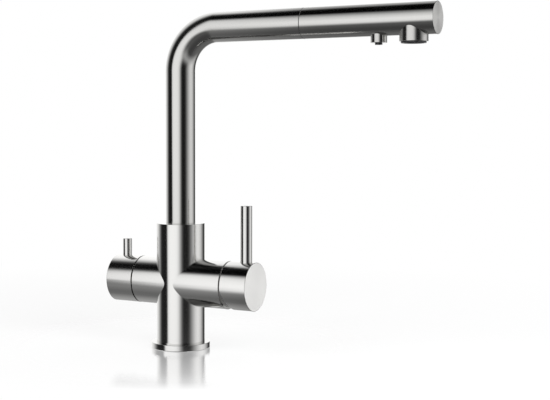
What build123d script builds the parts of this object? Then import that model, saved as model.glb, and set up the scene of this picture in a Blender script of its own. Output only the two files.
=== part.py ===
from build123d import *
import math
import os

os.makedirs("parts", exist_ok=True)

# Pull-out mixer tap with a second valve and outlet for filtered water. Sizes are in millimetres.
# The origin is where the column's axis meets the worktop. Z is up, X runs along both arms towards
# the mixer lever, and the user stands on the -Y side. The spout is stored turned over the +X arm.

# Driving sizes of what shows above the worktop
column_diameter = 46.0
column_height = 118.0
ring_diameter = 56.0
ring_height = 5.5
arm_diameter = 45.0
arm_height = 62.0
mixer_seam_reach = 53.2
mixer_reach = 80.0
filter_seam_reach = 41.7
filter_reach = 70.0
tube_diameter = 28.0
tube_wall = 1.5
spout_height = 301.0
bend_radius = 40.0
spout_seam_reach = 128.9
spout_reach = 251.5

# Driving sizes of what is hidden
worktop_thickness = 30.0
shank_diameter = 34.0
shank_wall = 2.0
hose_diameter = 12.0
hose_wall = 1.8
filter_tube_diameter = 5.0
filter_tube_wall = 1.0
cartridge_diameter = 35.0

# Clearances
running = 0.05
slip = 0.1
disc_gap = 0.04
seam_gap = 1.2
spout_gap = 0.3
overrun = 1.0

# Radii that several pieces share
column_radius = column_diameter / 2
arm_radius = arm_diameter / 2
tube_radius = tube_diameter / 2
tube_bore = tube_radius - tube_wall
hose_radius = hose_diameter / 2
hose_bore = hose_radius - hose_wall
filter_tube_radius = filter_tube_diameter / 2
filter_tube_bore = filter_tube_radius - filter_tube_wall
shank_radius = shank_diameter / 2
shank_bore = shank_radius - shank_wall


def level(height, reach=0.0):
    """A horizontal plane facing up, on the column's axis or further along the arms' middle plane."""
    return Plane(origin=(reach, 0, height), x_dir=(1, 0, 0), z_dir=(0, 0, 1))


def across(reach, height=arm_height):
    """A plane square to X, facing +X. Its own x runs along Y and its own y runs up."""
    return Plane(origin=(reach, 0, height), x_dir=(0, 1, 0), z_dir=(1, 0, 0))


def turned(plane, radius, length, bore=0.0, centre=(0.0, 0.0), mode=Mode.ADD):
    """A disc or a ring, extruded from its plane and joined to the open part, or cut from it."""
    with BuildSketch(plane) as profile:
        with Locations(centre):
            Circle(radius)
            if bore > 0:
                Circle(bore, mode=Mode.SUBTRACT)
    extrude(profile.sketch, amount=length, mode=mode)


def squared(plane, width, height, length, centre=(0.0, 0.0), mode=Mode.ADD):
    """A rectangle, extruded from its plane and joined to the open part, or cut from it."""
    with BuildSketch(plane) as profile:
        with Locations(centre):
            Rectangle(width, height)
    extrude(profile.sketch, amount=length, mode=mode)


def bored(plane, radius, length, centre=(0.0, 0.0)):
    """A round hole, cut into the open part from its plane."""
    turned(plane, radius, length, centre=centre, mode=Mode.SUBTRACT)


def milled(plane, width, height, length, centre=(0.0, 0.0)):
    """A rectangular pocket, cut into the open part from its plane."""
    squared(plane, width, height, length, centre=centre, mode=Mode.SUBTRACT)


def rim_edges(part, x_place):
    """The round edges of a part that lie square to X at one place."""
    found = part.edges().filter_by(GeomType.CIRCLE)
    return found.filter_by_position(Axis.X, x_place - running, x_place + running)


# Body: column and arms

# The spout's socket in the column
socket_depth = 32.0
socket_radius = tube_radius + running
socket_floor = column_height - socket_depth
socket_chamfer = 0.4

# The hose runs down the middle, and five threaded ports stand round it in the underside
hose_bore_clearance = 0.75
hose_passage = hose_radius + hose_bore_clearance
shank_grip = 8.0
port_floor = ring_height + shank_grip
port_thread_radius = 3.5
port_thread_length = 10.0
port_wall = 1.0
port_circle = hose_passage + port_wall + port_thread_radius
channel_radius = 2.2
hot_angle = 30.0
mixed_angle = 100.0
filter_in_angle = 180.0
filter_out_angle = 260.0
cold_angle = 330.0

# Seat and thread of the mixer cartridge in the +X arm
mixer_mouth = mixer_seam_reach - seam_gap / 2
cartridge_depth = 31.6
cartridge_seat = mixer_mouth - cartridge_depth
cartridge_radius = cartridge_diameter / 2
housing_length = 22.0
housing_shoulder = cartridge_seat + housing_length
nut_step = 1.5
nut_thread_radius = cartridge_radius + nut_step
supply_rise = 5.0
mixed_drop = 5.0
gallery_depth = 3.0

# Seat and thread of the filter valve in the -X arm
filter_mouth = filter_seam_reach - seam_gap / 2
filter_seat_depth = 23.7
filter_seat = filter_mouth - filter_seat_depth
filter_thread_radius = 10.4
filter_thread_length = 15.5
filter_hex_radius = 14.0
spanner_clearance = 0.6
outlet_drop = 3.0
outlet_length = 6.5

# The spout's retaining screw enters the column from behind
screw_radius = 2.5
screw_point_radius = 1.8
screw_level = socket_floor + socket_depth / 2


def port_place(angle):
    """Where a port stands on its circle, in plan."""
    turn = math.radians(angle)
    return (port_circle * math.cos(turn), port_circle * math.sin(turn))


hot_x, hot_y = port_place(hot_angle)
mixed_x, mixed_y = port_place(mixed_angle)
filter_in_x = port_place(filter_in_angle)[0]
filter_out_x, filter_out_y = port_place(filter_out_angle)
port_tops = {
    hot_angle: arm_height + supply_rise,
    cold_angle: arm_height + supply_rise,
    mixed_angle: arm_height - mixed_drop,
    filter_in_angle: arm_height,
    filter_out_angle: arm_height - outlet_drop,
}

with BuildPart() as body_casting:
    turned(level(ring_height), column_radius, column_height - ring_height)
    turned(across(-filter_mouth), arm_radius, filter_mouth + mixer_mouth)
    bored(level(socket_floor), socket_radius, socket_depth)
    mouth_edges = body_casting.edges().filter_by(GeomType.CIRCLE).group_by(Axis.Z)[-1]
    chamfer(mouth_edges.sort_by(SortBy.RADIUS)[0], socket_chamfer)
    bored(level(ring_height), hose_passage, socket_floor - ring_height)
    bored(level(ring_height), shank_radius + slip, shank_grip)
    # Threaded ports and the channels that rise from them
    for angle, top in port_tops.items():
        place = port_place(angle)
        bored(level(port_floor), port_thread_radius, port_thread_length, centre=place)
        bored(level(port_floor), channel_radius, top - port_floor, centre=place)
    # Mixer seat, its nut's thread, two supplies and the gallery of the mixed water
    seat_length = mixer_mouth - cartridge_seat
    bored(across(cartridge_seat), cartridge_radius + slip, seat_length)
    nut_zone = mixer_mouth - housing_shoulder
    bored(across(housing_shoulder), nut_thread_radius + running, nut_zone)
    for side in (hot_y, -hot_y):
        supply = (side, supply_rise)
        bored(across(hot_x), channel_radius, cartridge_seat - hot_x, centre=supply)
    gallery = (mixed_y, -mixed_drop)
    bored(across(mixed_x), channel_radius, cartridge_seat - mixed_x, centre=gallery)
    milled(
        across(cartridge_seat - gallery_depth),
        mixed_y,
        2 * channel_radius,
        gallery_depth,
        centre=(mixed_y / 2, -mixed_drop),
    )
    # Filter valve seat with its thread, the room for its collar, and its two channels
    filter_bore = filter_thread_radius + running
    bored(across(-filter_mouth), filter_bore, filter_mouth - filter_seat)
    collar_room = filter_seat_depth - filter_thread_length
    bored(across(-filter_mouth), filter_hex_radius + spanner_clearance, collar_room)
    bored(across(-filter_seat), channel_radius, filter_seat + filter_in_x)
    bored(
        across(-filter_seat - outlet_length),
        channel_radius,
        filter_seat + outlet_length + filter_out_x,
        centre=(filter_out_y, -outlet_drop),
    )
    # Tapped hole for the spout's retaining screw, from behind
    screw_hole = Plane((0, column_radius, screw_level), z_dir=(0, -1, 0))
    bored(screw_hole, screw_radius, column_radius - tube_bore)
body_casting.part.label = "body_casting"
export_step(body_casting.part, "parts/body_casting.step")

# Base: ring and deck gasket

gasket_inner_radius = 20.0
gasket_outer_radius = 26.0
gasket_thickness = 1.5
ring_edge = 0.4

with BuildPart() as base_ring:
    turned(level(0), ring_diameter / 2, ring_height, bore=shank_radius + slip)
    recess_radius = gasket_outer_radius + slip
    turned(
        level(0), recess_radius, gasket_thickness, bore=gasket_inner_radius - slip, mode=Mode.SUBTRACT
    )
    top_edges = base_ring.edges().filter_by(GeomType.CIRCLE).group_by(Axis.Z)[-1]
    fillet(top_edges.sort_by(SortBy.RADIUS)[-1], ring_edge)
base_ring.part.label = "base_ring"
export_step(base_ring.part, "parts/base_ring.step")

with BuildPart() as deck_gasket:
    turned(level(0), gasket_outer_radius, gasket_thickness, bore=gasket_inner_radius)
deck_gasket.part.label = "deck_gasket"
export_step(deck_gasket.part, "parts/deck_gasket.step")

# Fixing under the worktop: hollow shank, washers, nut with two jack screws

rubber_washer_thickness = 3.0
steel_washer_thickness = 2.0
washer_radius = 26.0
washer_clearance = 0.4
jack_gap = 2.0
clamp_nut_height = 9.0
jack_radius = 2.5
jack_wall = 2.1
jack_circle = shank_radius + jack_wall + jack_radius
clamp_nut_radius = jack_circle + jack_radius + jack_wall
jack_head = 3.0
jack_slot_width = 0.9
shank_tail = 6.0
shank_chamfer = 1.0
rubber_top = -worktop_thickness
steel_top = rubber_top - rubber_washer_thickness
jack_tip = steel_top - steel_washer_thickness
nut_top = jack_tip - jack_gap
nut_bottom = nut_top - clamp_nut_height
shank_end = nut_bottom - shank_tail

with BuildPart() as threaded_shank:
    turned(level(shank_end), shank_radius, port_floor - shank_end, bore=shank_bore)
    end_edges = threaded_shank.edges().filter_by(GeomType.CIRCLE).group_by(Axis.Z)[0]
    chamfer(end_edges.sort_by(SortBy.RADIUS)[-1], shank_chamfer)
threaded_shank.part.label = "threaded_shank"
export_step(threaded_shank.part, "parts/threaded_shank.step")

washer_bore = shank_radius + washer_clearance
with BuildPart() as rubber_washer:
    turned(level(steel_top), washer_radius, rubber_washer_thickness, bore=washer_bore)
rubber_washer.part.label = "rubber_washer"
export_step(rubber_washer.part, "parts/rubber_washer.step")

with BuildPart() as steel_washer:
    turned(level(jack_tip), washer_radius, steel_washer_thickness, bore=washer_bore)
steel_washer.part.label = "steel_washer"
export_step(steel_washer.part, "parts/steel_washer.step")

with BuildPart() as clamp_nut:
    with BuildSketch(level(nut_bottom)):
        RegularPolygon(clamp_nut_radius, side_count=6)
        Circle(shank_radius + running, mode=Mode.SUBTRACT)
        with PolarLocations(jack_circle, 2):
            Circle(jack_radius + running, mode=Mode.SUBTRACT)
    extrude(amount=clamp_nut_height)
clamp_nut.part.label = "clamp_nut"
export_step(clamp_nut.part, "parts/clamp_nut.step")

with BuildPart() as jack_screws:
    with BuildSketch(level(nut_bottom - jack_head)):
        with PolarLocations(jack_circle, 2):
            Circle(jack_radius)
    extrude(amount=jack_tip - nut_bottom + jack_head)
    with BuildSketch(level(nut_bottom - jack_head)):
        with PolarLocations(jack_circle, 2):
            Rectangle(2 * jack_radius, jack_slot_width)
    extrude(amount=jack_head / 2, mode=Mode.SUBTRACT)
jack_screws.part.label = "jack_screws"
export_step(jack_screws.part, "parts/jack_screws.step")

# Spout bearing in the column's socket

thrust_thickness = 1.0
foot_height = 22.0
foot_spigot = 8.0
foot_bore_clearance = 3.4
foot_bore = hose_radius + foot_bore_clearance
ring_groove_depth = 1.4
ring_groove_height = 4.0
seal_groove_height = 2.4
groove_land = 2.2
screw_groove_depth = 2.0
foot_floor = socket_floor + thrust_thickness + running
foot_top = foot_floor + foot_height
foot_groove_radius = tube_radius - ring_groove_depth
lower_ring_floor = foot_floor + groove_land
seal_floor = lower_ring_floor + ring_groove_height + groove_land / 2
upper_ring_floor = foot_top - ring_groove_height
screw_groove_radius = tube_radius - screw_groove_depth
screw_groove_height = 2 * screw_point_radius + 4 * slip
swivel_each_way = 110.0
stop_clearance_angle = 1.0
front_bearing = -90.0
screw_bearing = 90.0

with BuildPart() as thrust_washer:
    turned(level(socket_floor), tube_radius - slip, thrust_thickness, bore=foot_bore)
thrust_washer.part.label = "thrust_washer"
export_step(thrust_washer.part, "parts/thrust_washer.step")

# The screw's groove stops short of a full turn, which limits the swivel. Stored, the spout points
# along +X, so the groove is counted from there, with room for the screw's point at both ends.
point_half_angle = math.degrees(math.asin(screw_point_radius / screw_groove_radius)) + stop_clearance_angle
groove_first = screw_bearing - (front_bearing + swivel_each_way) - point_half_angle
groove_sweep = 2 * swivel_each_way + 2 * point_half_angle

with BuildPart() as spout_foot:
    turned(level(foot_floor), tube_radius, foot_height, bore=foot_bore)
    turned(level(foot_top), tube_bore - running, foot_spigot, bore=foot_bore)
    for floor, height in (
        (lower_ring_floor, ring_groove_height),
        (seal_floor, seal_groove_height),
        (upper_ring_floor, ring_groove_height),
    ):
        turned(level(floor), tube_radius + overrun, height, bore=foot_groove_radius, mode=Mode.SUBTRACT)
    with BuildSketch(level(screw_level - screw_groove_height / 2)):
        with BuildLine():
            outer_arc = CenterArc((0, 0), tube_radius + overrun, groove_first, groove_sweep)
            inner_arc = CenterArc((0, 0), screw_groove_radius, groove_first, groove_sweep)
            Line(outer_arc @ 0, inner_arc @ 0)
            Line(outer_arc @ 1, inner_arc @ 1)
        make_face()
    extrude(amount=screw_groove_height, mode=Mode.SUBTRACT)
spout_foot.part.label = "spout_foot"
export_step(spout_foot.part, "parts/spout_foot.step")

bearing_radius = tube_radius + running / 2
with BuildPart() as lower_bearing_ring:
    turned(level(lower_ring_floor), bearing_radius, ring_groove_height, bore=foot_groove_radius)
lower_bearing_ring.part.label = "lower_bearing_ring"
export_step(lower_bearing_ring.part, "parts/lower_bearing_ring.step")

with BuildPart() as upper_bearing_ring:
    turned(level(upper_ring_floor), bearing_radius, ring_groove_height, bore=foot_groove_radius)
upper_bearing_ring.part.label = "upper_bearing_ring"
export_step(upper_bearing_ring.part, "parts/upper_bearing_ring.step")

with BuildPart() as foot_seal:
    turned(level(seal_floor), bearing_radius, seal_groove_height, bore=foot_groove_radius)
foot_seal.part.label = "foot_seal"
export_step(foot_seal.part, "parts/foot_seal.step")

# The screw is flush below the column's surface, and its point stands in the foot's groove
screw_sink = 1.0
screw_key_radius = 1.2
screw_key_depth = 2.5
screw_body = column_radius - screw_sink - tube_radius - slip
screw_point = screw_groove_depth + slip - 2 * running
with BuildPart() as retaining_screw:
    screw_plane = Plane((0, column_radius - screw_sink, screw_level), z_dir=(0, -1, 0))
    turned(screw_plane, screw_radius - running, screw_body)
    turned(screw_plane, screw_point_radius, screw_body + screw_point)
    with BuildSketch(screw_plane):
        RegularPolygon(screw_key_radius, side_count=6)
    extrude(amount=screw_key_depth, mode=Mode.SUBTRACT)
retaining_screw.part.label = "retaining_screw"
export_step(retaining_screw.part, "parts/retaining_screw.step")

# Spout: bent tube, mouth guide, and the hose that runs through it

mouth_reach = spout_seam_reach - spout_gap
guide_length = 24.0
guide_wall = 2.0
guide_bore = tube_bore - running - guide_wall
guide_lead = 0.8

with BuildPart() as spout_tube:
    with BuildLine(Plane.XZ):
        riser_line = Line((0, foot_top), (0, spout_height - bend_radius))
        bend_arc = TangentArc(riser_line @ 1, (bend_radius, spout_height), tangent=riser_line % 1)
        Line(bend_arc @ 1, (mouth_reach, spout_height))
    with BuildSketch(level(foot_top)):
        Circle(tube_radius)
        Circle(tube_bore, mode=Mode.SUBTRACT)
    sweep()
spout_tube.part.label = "spout_tube"
export_step(spout_tube.part, "parts/spout_tube.step")

with BuildPart() as mouth_guide:
    guide_plane = across(mouth_reach - guide_length, spout_height)
    turned(guide_plane, tube_bore - running, guide_length, bore=guide_bore)
    guide_edges = rim_edges(mouth_guide, mouth_reach)
    chamfer(guide_edges.sort_by(SortBy.RADIUS)[0], guide_lead)
mouth_guide.part.label = "mouth_guide"
export_step(mouth_guide.part, "parts/mouth_guide.step")

# Head end of the hose: nipple with barb, and crimp ferrule
spigot_length = 16.9
spigot_radius = guide_bore - slip
socket_bore = 8.2
nipple_inset = 5.0
barb_length = 14.0
barb_bore = 3.6
ferrule_wall = 1.0
hose_head_end = spout_seam_reach - spigot_length
nipple_end = spout_seam_reach + nipple_inset

# Lower end of the hose: connector just inside the shank
connector_length = 20.0
connector_radius = 7.75
connector_grip = 8.0
connector_top = shank_end + connector_length - connector_grip / 2
connector_bottom = connector_top - connector_length
hose_low_end = connector_top - connector_grip


def hose_like(radius, bore, start_reach, end_height):
    """A tube that follows the spout's middle line from a place in its mouth down to a height."""
    with BuildLine(Plane.XZ) as route:
        run_line = Line((start_reach, spout_height), (bend_radius, spout_height))
        turn_place = (0, spout_height - bend_radius)
        turn_arc = TangentArc(run_line @ 1, turn_place, tangent=run_line % 1)
        Line(turn_arc @ 1, (0, end_height))
    with BuildSketch(Plane((start_reach, 0, spout_height), z_dir=(-1, 0, 0))) as section:
        Circle(radius)
        Circle(bore, mode=Mode.SUBTRACT)
    sweep(section.sketch, path=route.wire())


with BuildPart() as pull_out_hose:
    hose_like(hose_radius, hose_bore, hose_head_end, hose_low_end)
pull_out_hose.part.label = "pull_out_hose"
export_step(pull_out_hose.part, "parts/pull_out_hose.step")

filter_tube_head_end = nipple_end + nipple_inset
filter_tube_low_end = connector_bottom
with BuildPart() as filter_water_tube:
    hose_like(filter_tube_radius, filter_tube_bore, filter_tube_head_end, filter_tube_low_end)
filter_water_tube.part.label = "filter_water_tube"
export_step(filter_water_tube.part, "parts/filter_water_tube.step")

with BuildPart() as hose_nipple:
    turned(
        across(hose_head_end, spout_height),
        socket_bore - slip,
        nipple_end - hose_head_end,
        bore=barb_bore,
    )
    barb_plane = across(hose_head_end - barb_length, spout_height)
    turned(barb_plane, hose_bore - running, barb_length, bore=barb_bore)
hose_nipple.part.label = "hose_nipple"
export_step(hose_nipple.part, "parts/hose_nipple.step")

ferrule_bore = hose_radius + running
with BuildPart() as hose_ferrule:
    turned(barb_plane, ferrule_bore + ferrule_wall, barb_length, bore=ferrule_bore)
hose_ferrule.part.label = "hose_ferrule"
export_step(hose_ferrule.part, "parts/hose_ferrule.step")

with BuildPart() as hose_connector:
    turned(level(connector_bottom), connector_radius, connector_length, bore=filter_tube_radius + slip)
    bored(level(hose_low_end), hose_radius + slip, connector_grip)
hose_connector.part.label = "hose_connector"
export_step(hose_connector.part, "parts/hose_connector.step")

# Spray head: shell, two collars, waterway core and what the core holds

end_wall = 3.0
end_edge = 0.3
aerator_inset = 21.4
aerator_reach = spout_reach - aerator_inset
aerator_collar_radius = 12.4
aerator_collar_wall = 1.5
collar_drop = 5.5
aerator_rise = 11.0
outlet_spacing = 31.5
filter_outlet_reach = aerator_reach - outlet_spacing
filter_outlet_radius = 7.2
filter_outlet_drop = 5.6
filter_outlet_rise = 4.0
tube_underside = spout_height - tube_radius
aerator_collar_floor = tube_underside - collar_drop
aerator_collar_top = tube_underside + aerator_rise
filter_collar_floor = tube_underside - filter_outlet_drop
filter_collar_top = tube_underside + filter_outlet_rise
head_depth = spout_reach - end_wall

with BuildPart() as head_shell:
    turned(across(spout_seam_reach, spout_height), tube_radius, spout_reach - spout_seam_reach)
    bored(across(spout_seam_reach, spout_height), tube_bore, head_depth - spout_seam_reach)
    for reach, radius, top in (
        (aerator_reach, aerator_collar_radius, aerator_collar_top),
        (filter_outlet_reach, filter_outlet_radius, filter_collar_top),
    ):
        hole_floor = tube_underside - overrun
        bored(level(hole_floor, reach), radius + running, top - hole_floor)
    fillet(rim_edges(head_shell, spout_reach), end_edge)
head_shell.part.label = "head_shell"
export_step(head_shell.part, "parts/head_shell.step")

# The aerator's collar is threaded below, and its washer seats on a ledge
aerator_rim_width = 1.5
aerator_rim_drop = 1.2
aerator_cage_height = 10.0
aerator_cage_wall = 2.2
screen_thickness = 0.8
gasket_height = 1.5
collar_bore = aerator_collar_radius - aerator_collar_wall
aerator_body_radius = collar_bore - slip
aerator_bore = aerator_body_radius - aerator_cage_wall
rim_floor = aerator_collar_floor - aerator_rim_drop
screen_floor = aerator_collar_floor
cage_floor = screen_floor + screen_thickness
cage_top = cage_floor + aerator_cage_height
ledge_level = cage_top + gasket_height
with BuildPart() as aerator_collar:
    collar_height = aerator_collar_top - aerator_collar_floor
    turned(
        level(aerator_collar_floor, aerator_reach),
        aerator_collar_radius,
        collar_height,
        bore=aerator_bore,
    )
    thread_height = ledge_level - aerator_collar_floor
    bored(level(aerator_collar_floor, aerator_reach), collar_bore, thread_height)
aerator_collar.part.label = "aerator_collar"
export_step(aerator_collar.part, "parts/aerator_collar.step")

nozzle_radius = 3.2
nozzle_bore = 1.6
nozzle_stand_out = 1.6
with BuildPart() as filter_outlet_collar:
    turned(
        level(filter_collar_floor, filter_outlet_reach),
        filter_outlet_radius,
        filter_collar_top - filter_collar_floor,
        bore=nozzle_radius + running,
    )
filter_outlet_collar.part.label = "filter_outlet_collar"
export_step(filter_outlet_collar.part, "parts/filter_outlet_collar.step")

with BuildPart() as filter_nozzle:
    nozzle_floor = filter_collar_floor - nozzle_stand_out
    turned(
        level(nozzle_floor, filter_outlet_reach),
        nozzle_radius,
        filter_collar_top - nozzle_floor,
        bore=nozzle_bore,
    )
filter_nozzle.part.label = "filter_nozzle"
export_step(filter_nozzle.part, "parts/filter_nozzle.step")

# Aerator: threaded cage with a dark rim, a holed plate under it and a washer above it
screen_hole_radius = 0.6
screen_pitch = 2.2
screen_rings = 3
screen_radius = aerator_body_radius - aerator_rim_width
with BuildPart() as aerator_cage:
    turned(
        level(rim_floor, aerator_reach), aerator_body_radius, cage_top - rim_floor, bore=screen_radius
    )
    inner_radius = screen_radius + running
    turned(level(cage_floor, aerator_reach), inner_radius, cage_top - cage_floor, bore=aerator_bore)
aerator_cage.part.label = "aerator_cage"
export_step(aerator_cage.part, "parts/aerator_cage.step")

screen_places = []
for ring in range(screen_rings + 1):
    count = max(1, 6 * ring)
    for step in range(count):
        turn = 2 * math.pi * step / count
        screen_places.append((ring * screen_pitch * math.cos(turn), ring * screen_pitch * math.sin(turn)))
with BuildPart() as aerator_screen:
    with BuildSketch(level(screen_floor, aerator_reach)):
        Circle(screen_radius - running)
        with Locations(*screen_places):
            Circle(screen_hole_radius, mode=Mode.SUBTRACT)
    extrude(amount=screen_thickness)
aerator_screen.part.label = "aerator_screen"
export_step(aerator_screen.part, "parts/aerator_screen.step")

with BuildPart() as aerator_gasket:
    turned(level(cage_top, aerator_reach), aerator_body_radius, gasket_height, bore=aerator_bore)
aerator_gasket.part.label = "aerator_gasket"
export_step(aerator_gasket.part, "parts/aerator_gasket.step")

# The core is one moulding with the docking spigot. The mixed water runs high along it, and the
# filtered water runs on its axis to the smaller outlet.
core_radius = tube_bore - slip
core_end = head_depth - end_wall
water_gap = 3.0
core_socket_end = nipple_end + water_gap
spray_bore = 3.2
spray_rise = 6.2
filter_plug = 8.0
filter_bore_small = 1.6
docking_groove_depth = 1.3
docking_groove_width = 2.2
docking_inset = 5.0
docking_groove = hose_head_end + docking_inset
cavity_top = aerator_collar_top + slip
spray_run = aerator_reach - core_socket_end
with BuildPart() as head_core:
    turned(across(spout_seam_reach, spout_height), core_radius, core_end - spout_seam_reach)
    turned(across(hose_head_end, spout_height), spigot_radius, spigot_length)
    bored(across(hose_head_end, spout_height), socket_bore, core_socket_end - hose_head_end)
    turned(
        across(docking_groove, spout_height),
        spigot_radius + overrun,
        docking_groove_width,
        bore=spigot_radius - docking_groove_depth,
        mode=Mode.SUBTRACT,
    )
    bored(
        level(tube_underside, aerator_reach), aerator_collar_radius + slip, cavity_top - tube_underside
    )
    bored(
        level(tube_underside, filter_outlet_reach),
        filter_outlet_radius + slip,
        filter_collar_top + slip - tube_underside,
    )
    spray_place = (0, spray_rise)
    bored(across(core_socket_end, spout_height), spray_bore, spray_run, centre=spray_place)
    spray_level = spout_height + spray_rise
    bored(level(cavity_top, aerator_reach), spray_bore, spray_level - cavity_top)
    plug_bore = filter_tube_radius + slip
    bored(across(core_socket_end, spout_height), plug_bore, filter_plug)
    filter_run = filter_outlet_reach - core_socket_end
    bored(across(core_socket_end, spout_height), filter_bore_small, filter_run)
    bored(level(tube_underside, filter_outlet_reach), filter_bore_small, tube_radius)
head_core.part.label = "head_core"
export_step(head_core.part, "parts/head_core.step")

with BuildPart() as docking_ring:
    turned(
        across(docking_groove, spout_height),
        spigot_radius + running,
        docking_groove_width,
        bore=spigot_radius - docking_groove_depth,
    )
docking_ring.part.label = "docking_ring"
export_step(docking_ring.part, "parts/docking_ring.step")

valve_inset = 18.0
valve_length = 12.0
valve_bore = 1.5
with BuildPart() as non_return_valve:
    turned(
        across(core_socket_end + valve_inset, spout_height),
        spray_bore - running,
        valve_length,
        bore=valve_bore,
        centre=spray_place,
    )
non_return_valve.part.label = "non_return_valve"
export_step(non_return_valve.part, "parts/non_return_valve.step")

# Mixer cartridge

base_thickness = 2.5
housing_wall = 2.3
housing_neck_length = 7.5
neck_step = 4.3
neck_wall = 1.75
seal_groove_depth = 1.0
seal_wall = 1.2
fixed_disc_thickness = 3.5
moving_disc_thickness = 3.4
moving_disc_radius = 11.6
disc_carrier_thickness = 3.7
disc_carrier_half_width = 8.5
carrier_flange = 1.6
carrier_end_inset = 0.5
cheek_thickness = 3.6
cheek_half_height = 5.0
pivot_inset = 23.0
pivot_pin_radius = 1.5
pivot_pin_half_length = 10.6
stem_width = 8.0
finger_gap = 0.56
finger_radius = 2.0
finger_neck = 2.8
finger_width = 5.0
tilt_limit = 16.0
disc_port_radius = 2.0
chamber_radius = cartridge_radius - housing_wall
housing_neck_radius = cartridge_radius - neck_step
carrier_radius = housing_neck_radius - neck_wall - running
chamber_floor = cartridge_seat + base_thickness
fixed_disc_top = chamber_floor + fixed_disc_thickness
moving_disc_floor = fixed_disc_top + disc_gap
moving_disc_top = moving_disc_floor + moving_disc_thickness
disc_carrier_top = moving_disc_top + disc_carrier_thickness
flange_floor = disc_carrier_top + 2 * slip
flange_top = flange_floor + carrier_flange
housing_end = housing_shoulder + housing_neck_length
carrier_end = housing_end - carrier_end_inset
pivot_reach = cartridge_seat + pivot_inset
finger_centre = moving_disc_top + finger_gap + finger_radius
finger_reach = pivot_reach - finger_centre
disc_travel = finger_reach * math.radians(tilt_limit)
disc_rest = -disc_travel / 2
mixed_port = (0.0, -mixed_drop)
cartridge_ports = (mixed_port, (hot_y, supply_rise), (-hot_y, supply_rise))
seal_radius = disc_port_radius + seal_wall

with BuildPart() as cartridge_base:
    turned(across(cartridge_seat), cartridge_radius, base_thickness)
    for port in cartridge_ports:
        bored(across(cartridge_seat), disc_port_radius, base_thickness, centre=port)
        groove_radius = seal_radius + slip
        bored(across(cartridge_seat), groove_radius, seal_groove_depth, centre=port)
cartridge_base.part.label = "cartridge_base"
export_step(cartridge_base.part, "parts/cartridge_base.step")

with BuildPart() as cartridge_seals:
    for port in cartridge_ports:
        turned(
            across(cartridge_seat), seal_radius, seal_groove_depth, bore=disc_port_radius, centre=port
        )
cartridge_seals.part.label = "cartridge_seals"
export_step(cartridge_seals.part, "parts/cartridge_seals.step")

with BuildPart() as cartridge_housing:
    turned(across(chamber_floor), cartridge_radius, housing_shoulder - chamber_floor)
    turned(across(housing_shoulder), housing_neck_radius, housing_neck_length)
    chamber_length = flange_top + running - chamber_floor
    bored(across(chamber_floor), chamber_radius, chamber_length)
    bore_length = housing_end - flange_top
    bored(across(flange_top), carrier_radius + running, bore_length)
cartridge_housing.part.label = "cartridge_housing"
export_step(cartridge_housing.part, "parts/cartridge_housing.step")

with BuildPart() as fixed_disc:
    turned(across(chamber_floor), chamber_radius - 2 * slip, fixed_disc_thickness)
    for port in cartridge_ports:
        bored(across(chamber_floor), disc_port_radius, fixed_disc_thickness, centre=port)
fixed_disc.part.label = "fixed_disc"
export_step(fixed_disc.part, "parts/fixed_disc.step")

# The moving disc starts low, closed, and its pocket joins the ports as it slides up
pocket_depth_share = 0.5
pocket_radius = 5.4
disc_centre = (0.0, disc_rest)
with BuildPart() as moving_disc:
    turned(across(moving_disc_floor), moving_disc_radius, moving_disc_thickness, centre=disc_centre)
    pocket_depth = moving_disc_thickness * pocket_depth_share
    bored(across(moving_disc_floor), pocket_radius, pocket_depth, centre=disc_centre)
moving_disc.part.label = "moving_disc"
export_step(moving_disc.part, "parts/moving_disc.step")

# The finger's slot is a little wider than the finger, because the finger swings on an arc
with BuildPart() as disc_carrier:
    with BuildSketch(across(moving_disc_top)):
        with Locations(disc_centre):
            Circle(moving_disc_radius)
            Rectangle(2 * disc_carrier_half_width, 2 * moving_disc_radius, mode=Mode.INTERSECT)
        Rectangle(finger_width + 2 * slip, 2 * (finger_radius + slip), mode=Mode.SUBTRACT)
    extrude(amount=disc_carrier_thickness)
disc_carrier.part.label = "disc_carrier"
export_step(disc_carrier.part, "parts/disc_carrier.step")

# Turning carrier: flange, body with the stem's slot, and two cheeks that guide the disc carrier
stem_swing = (carrier_end - pivot_reach) * math.sin(math.radians(tilt_limit)) + stem_width / 2
finger_swing = (pivot_reach - flange_floor) * math.sin(math.radians(tilt_limit)) + stem_width / 2
slot_half_height = max(stem_swing, finger_swing) + 2 * slip
with BuildPart() as turning_carrier:
    turned(across(flange_floor), chamber_radius - 2 * slip, carrier_flange)
    turned(across(flange_floor), carrier_radius, carrier_end - flange_floor)
    cheek_centre = disc_carrier_half_width + slip + cheek_thickness / 2
    cheek_length = disc_carrier_thickness
    for side in (-1, 1):
        squared(
            across(flange_floor - cheek_length),
            cheek_thickness,
            2 * cheek_half_height,
            cheek_length,
            centre=(side * cheek_centre, 0),
        )
    milled(across(flange_floor), stem_width + 2 * slip, 2 * slot_half_height, carrier_end - flange_floor)
    pin_plane = Plane((pivot_reach, -pivot_pin_half_length, arm_height), z_dir=(0, 1, 0))
    bored(pin_plane, pivot_pin_radius + running, 2 * pivot_pin_half_length)
turning_carrier.part.label = "turning_carrier"
export_step(turning_carrier.part, "parts/turning_carrier.step")

with BuildPart() as lever_pivot_pin:
    turned(pin_plane, pivot_pin_radius, 2 * pivot_pin_half_length)
lever_pivot_pin.part.label = "lever_pivot_pin"
export_step(lever_pivot_pin.part, "parts/lever_pivot_pin.step")

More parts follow.
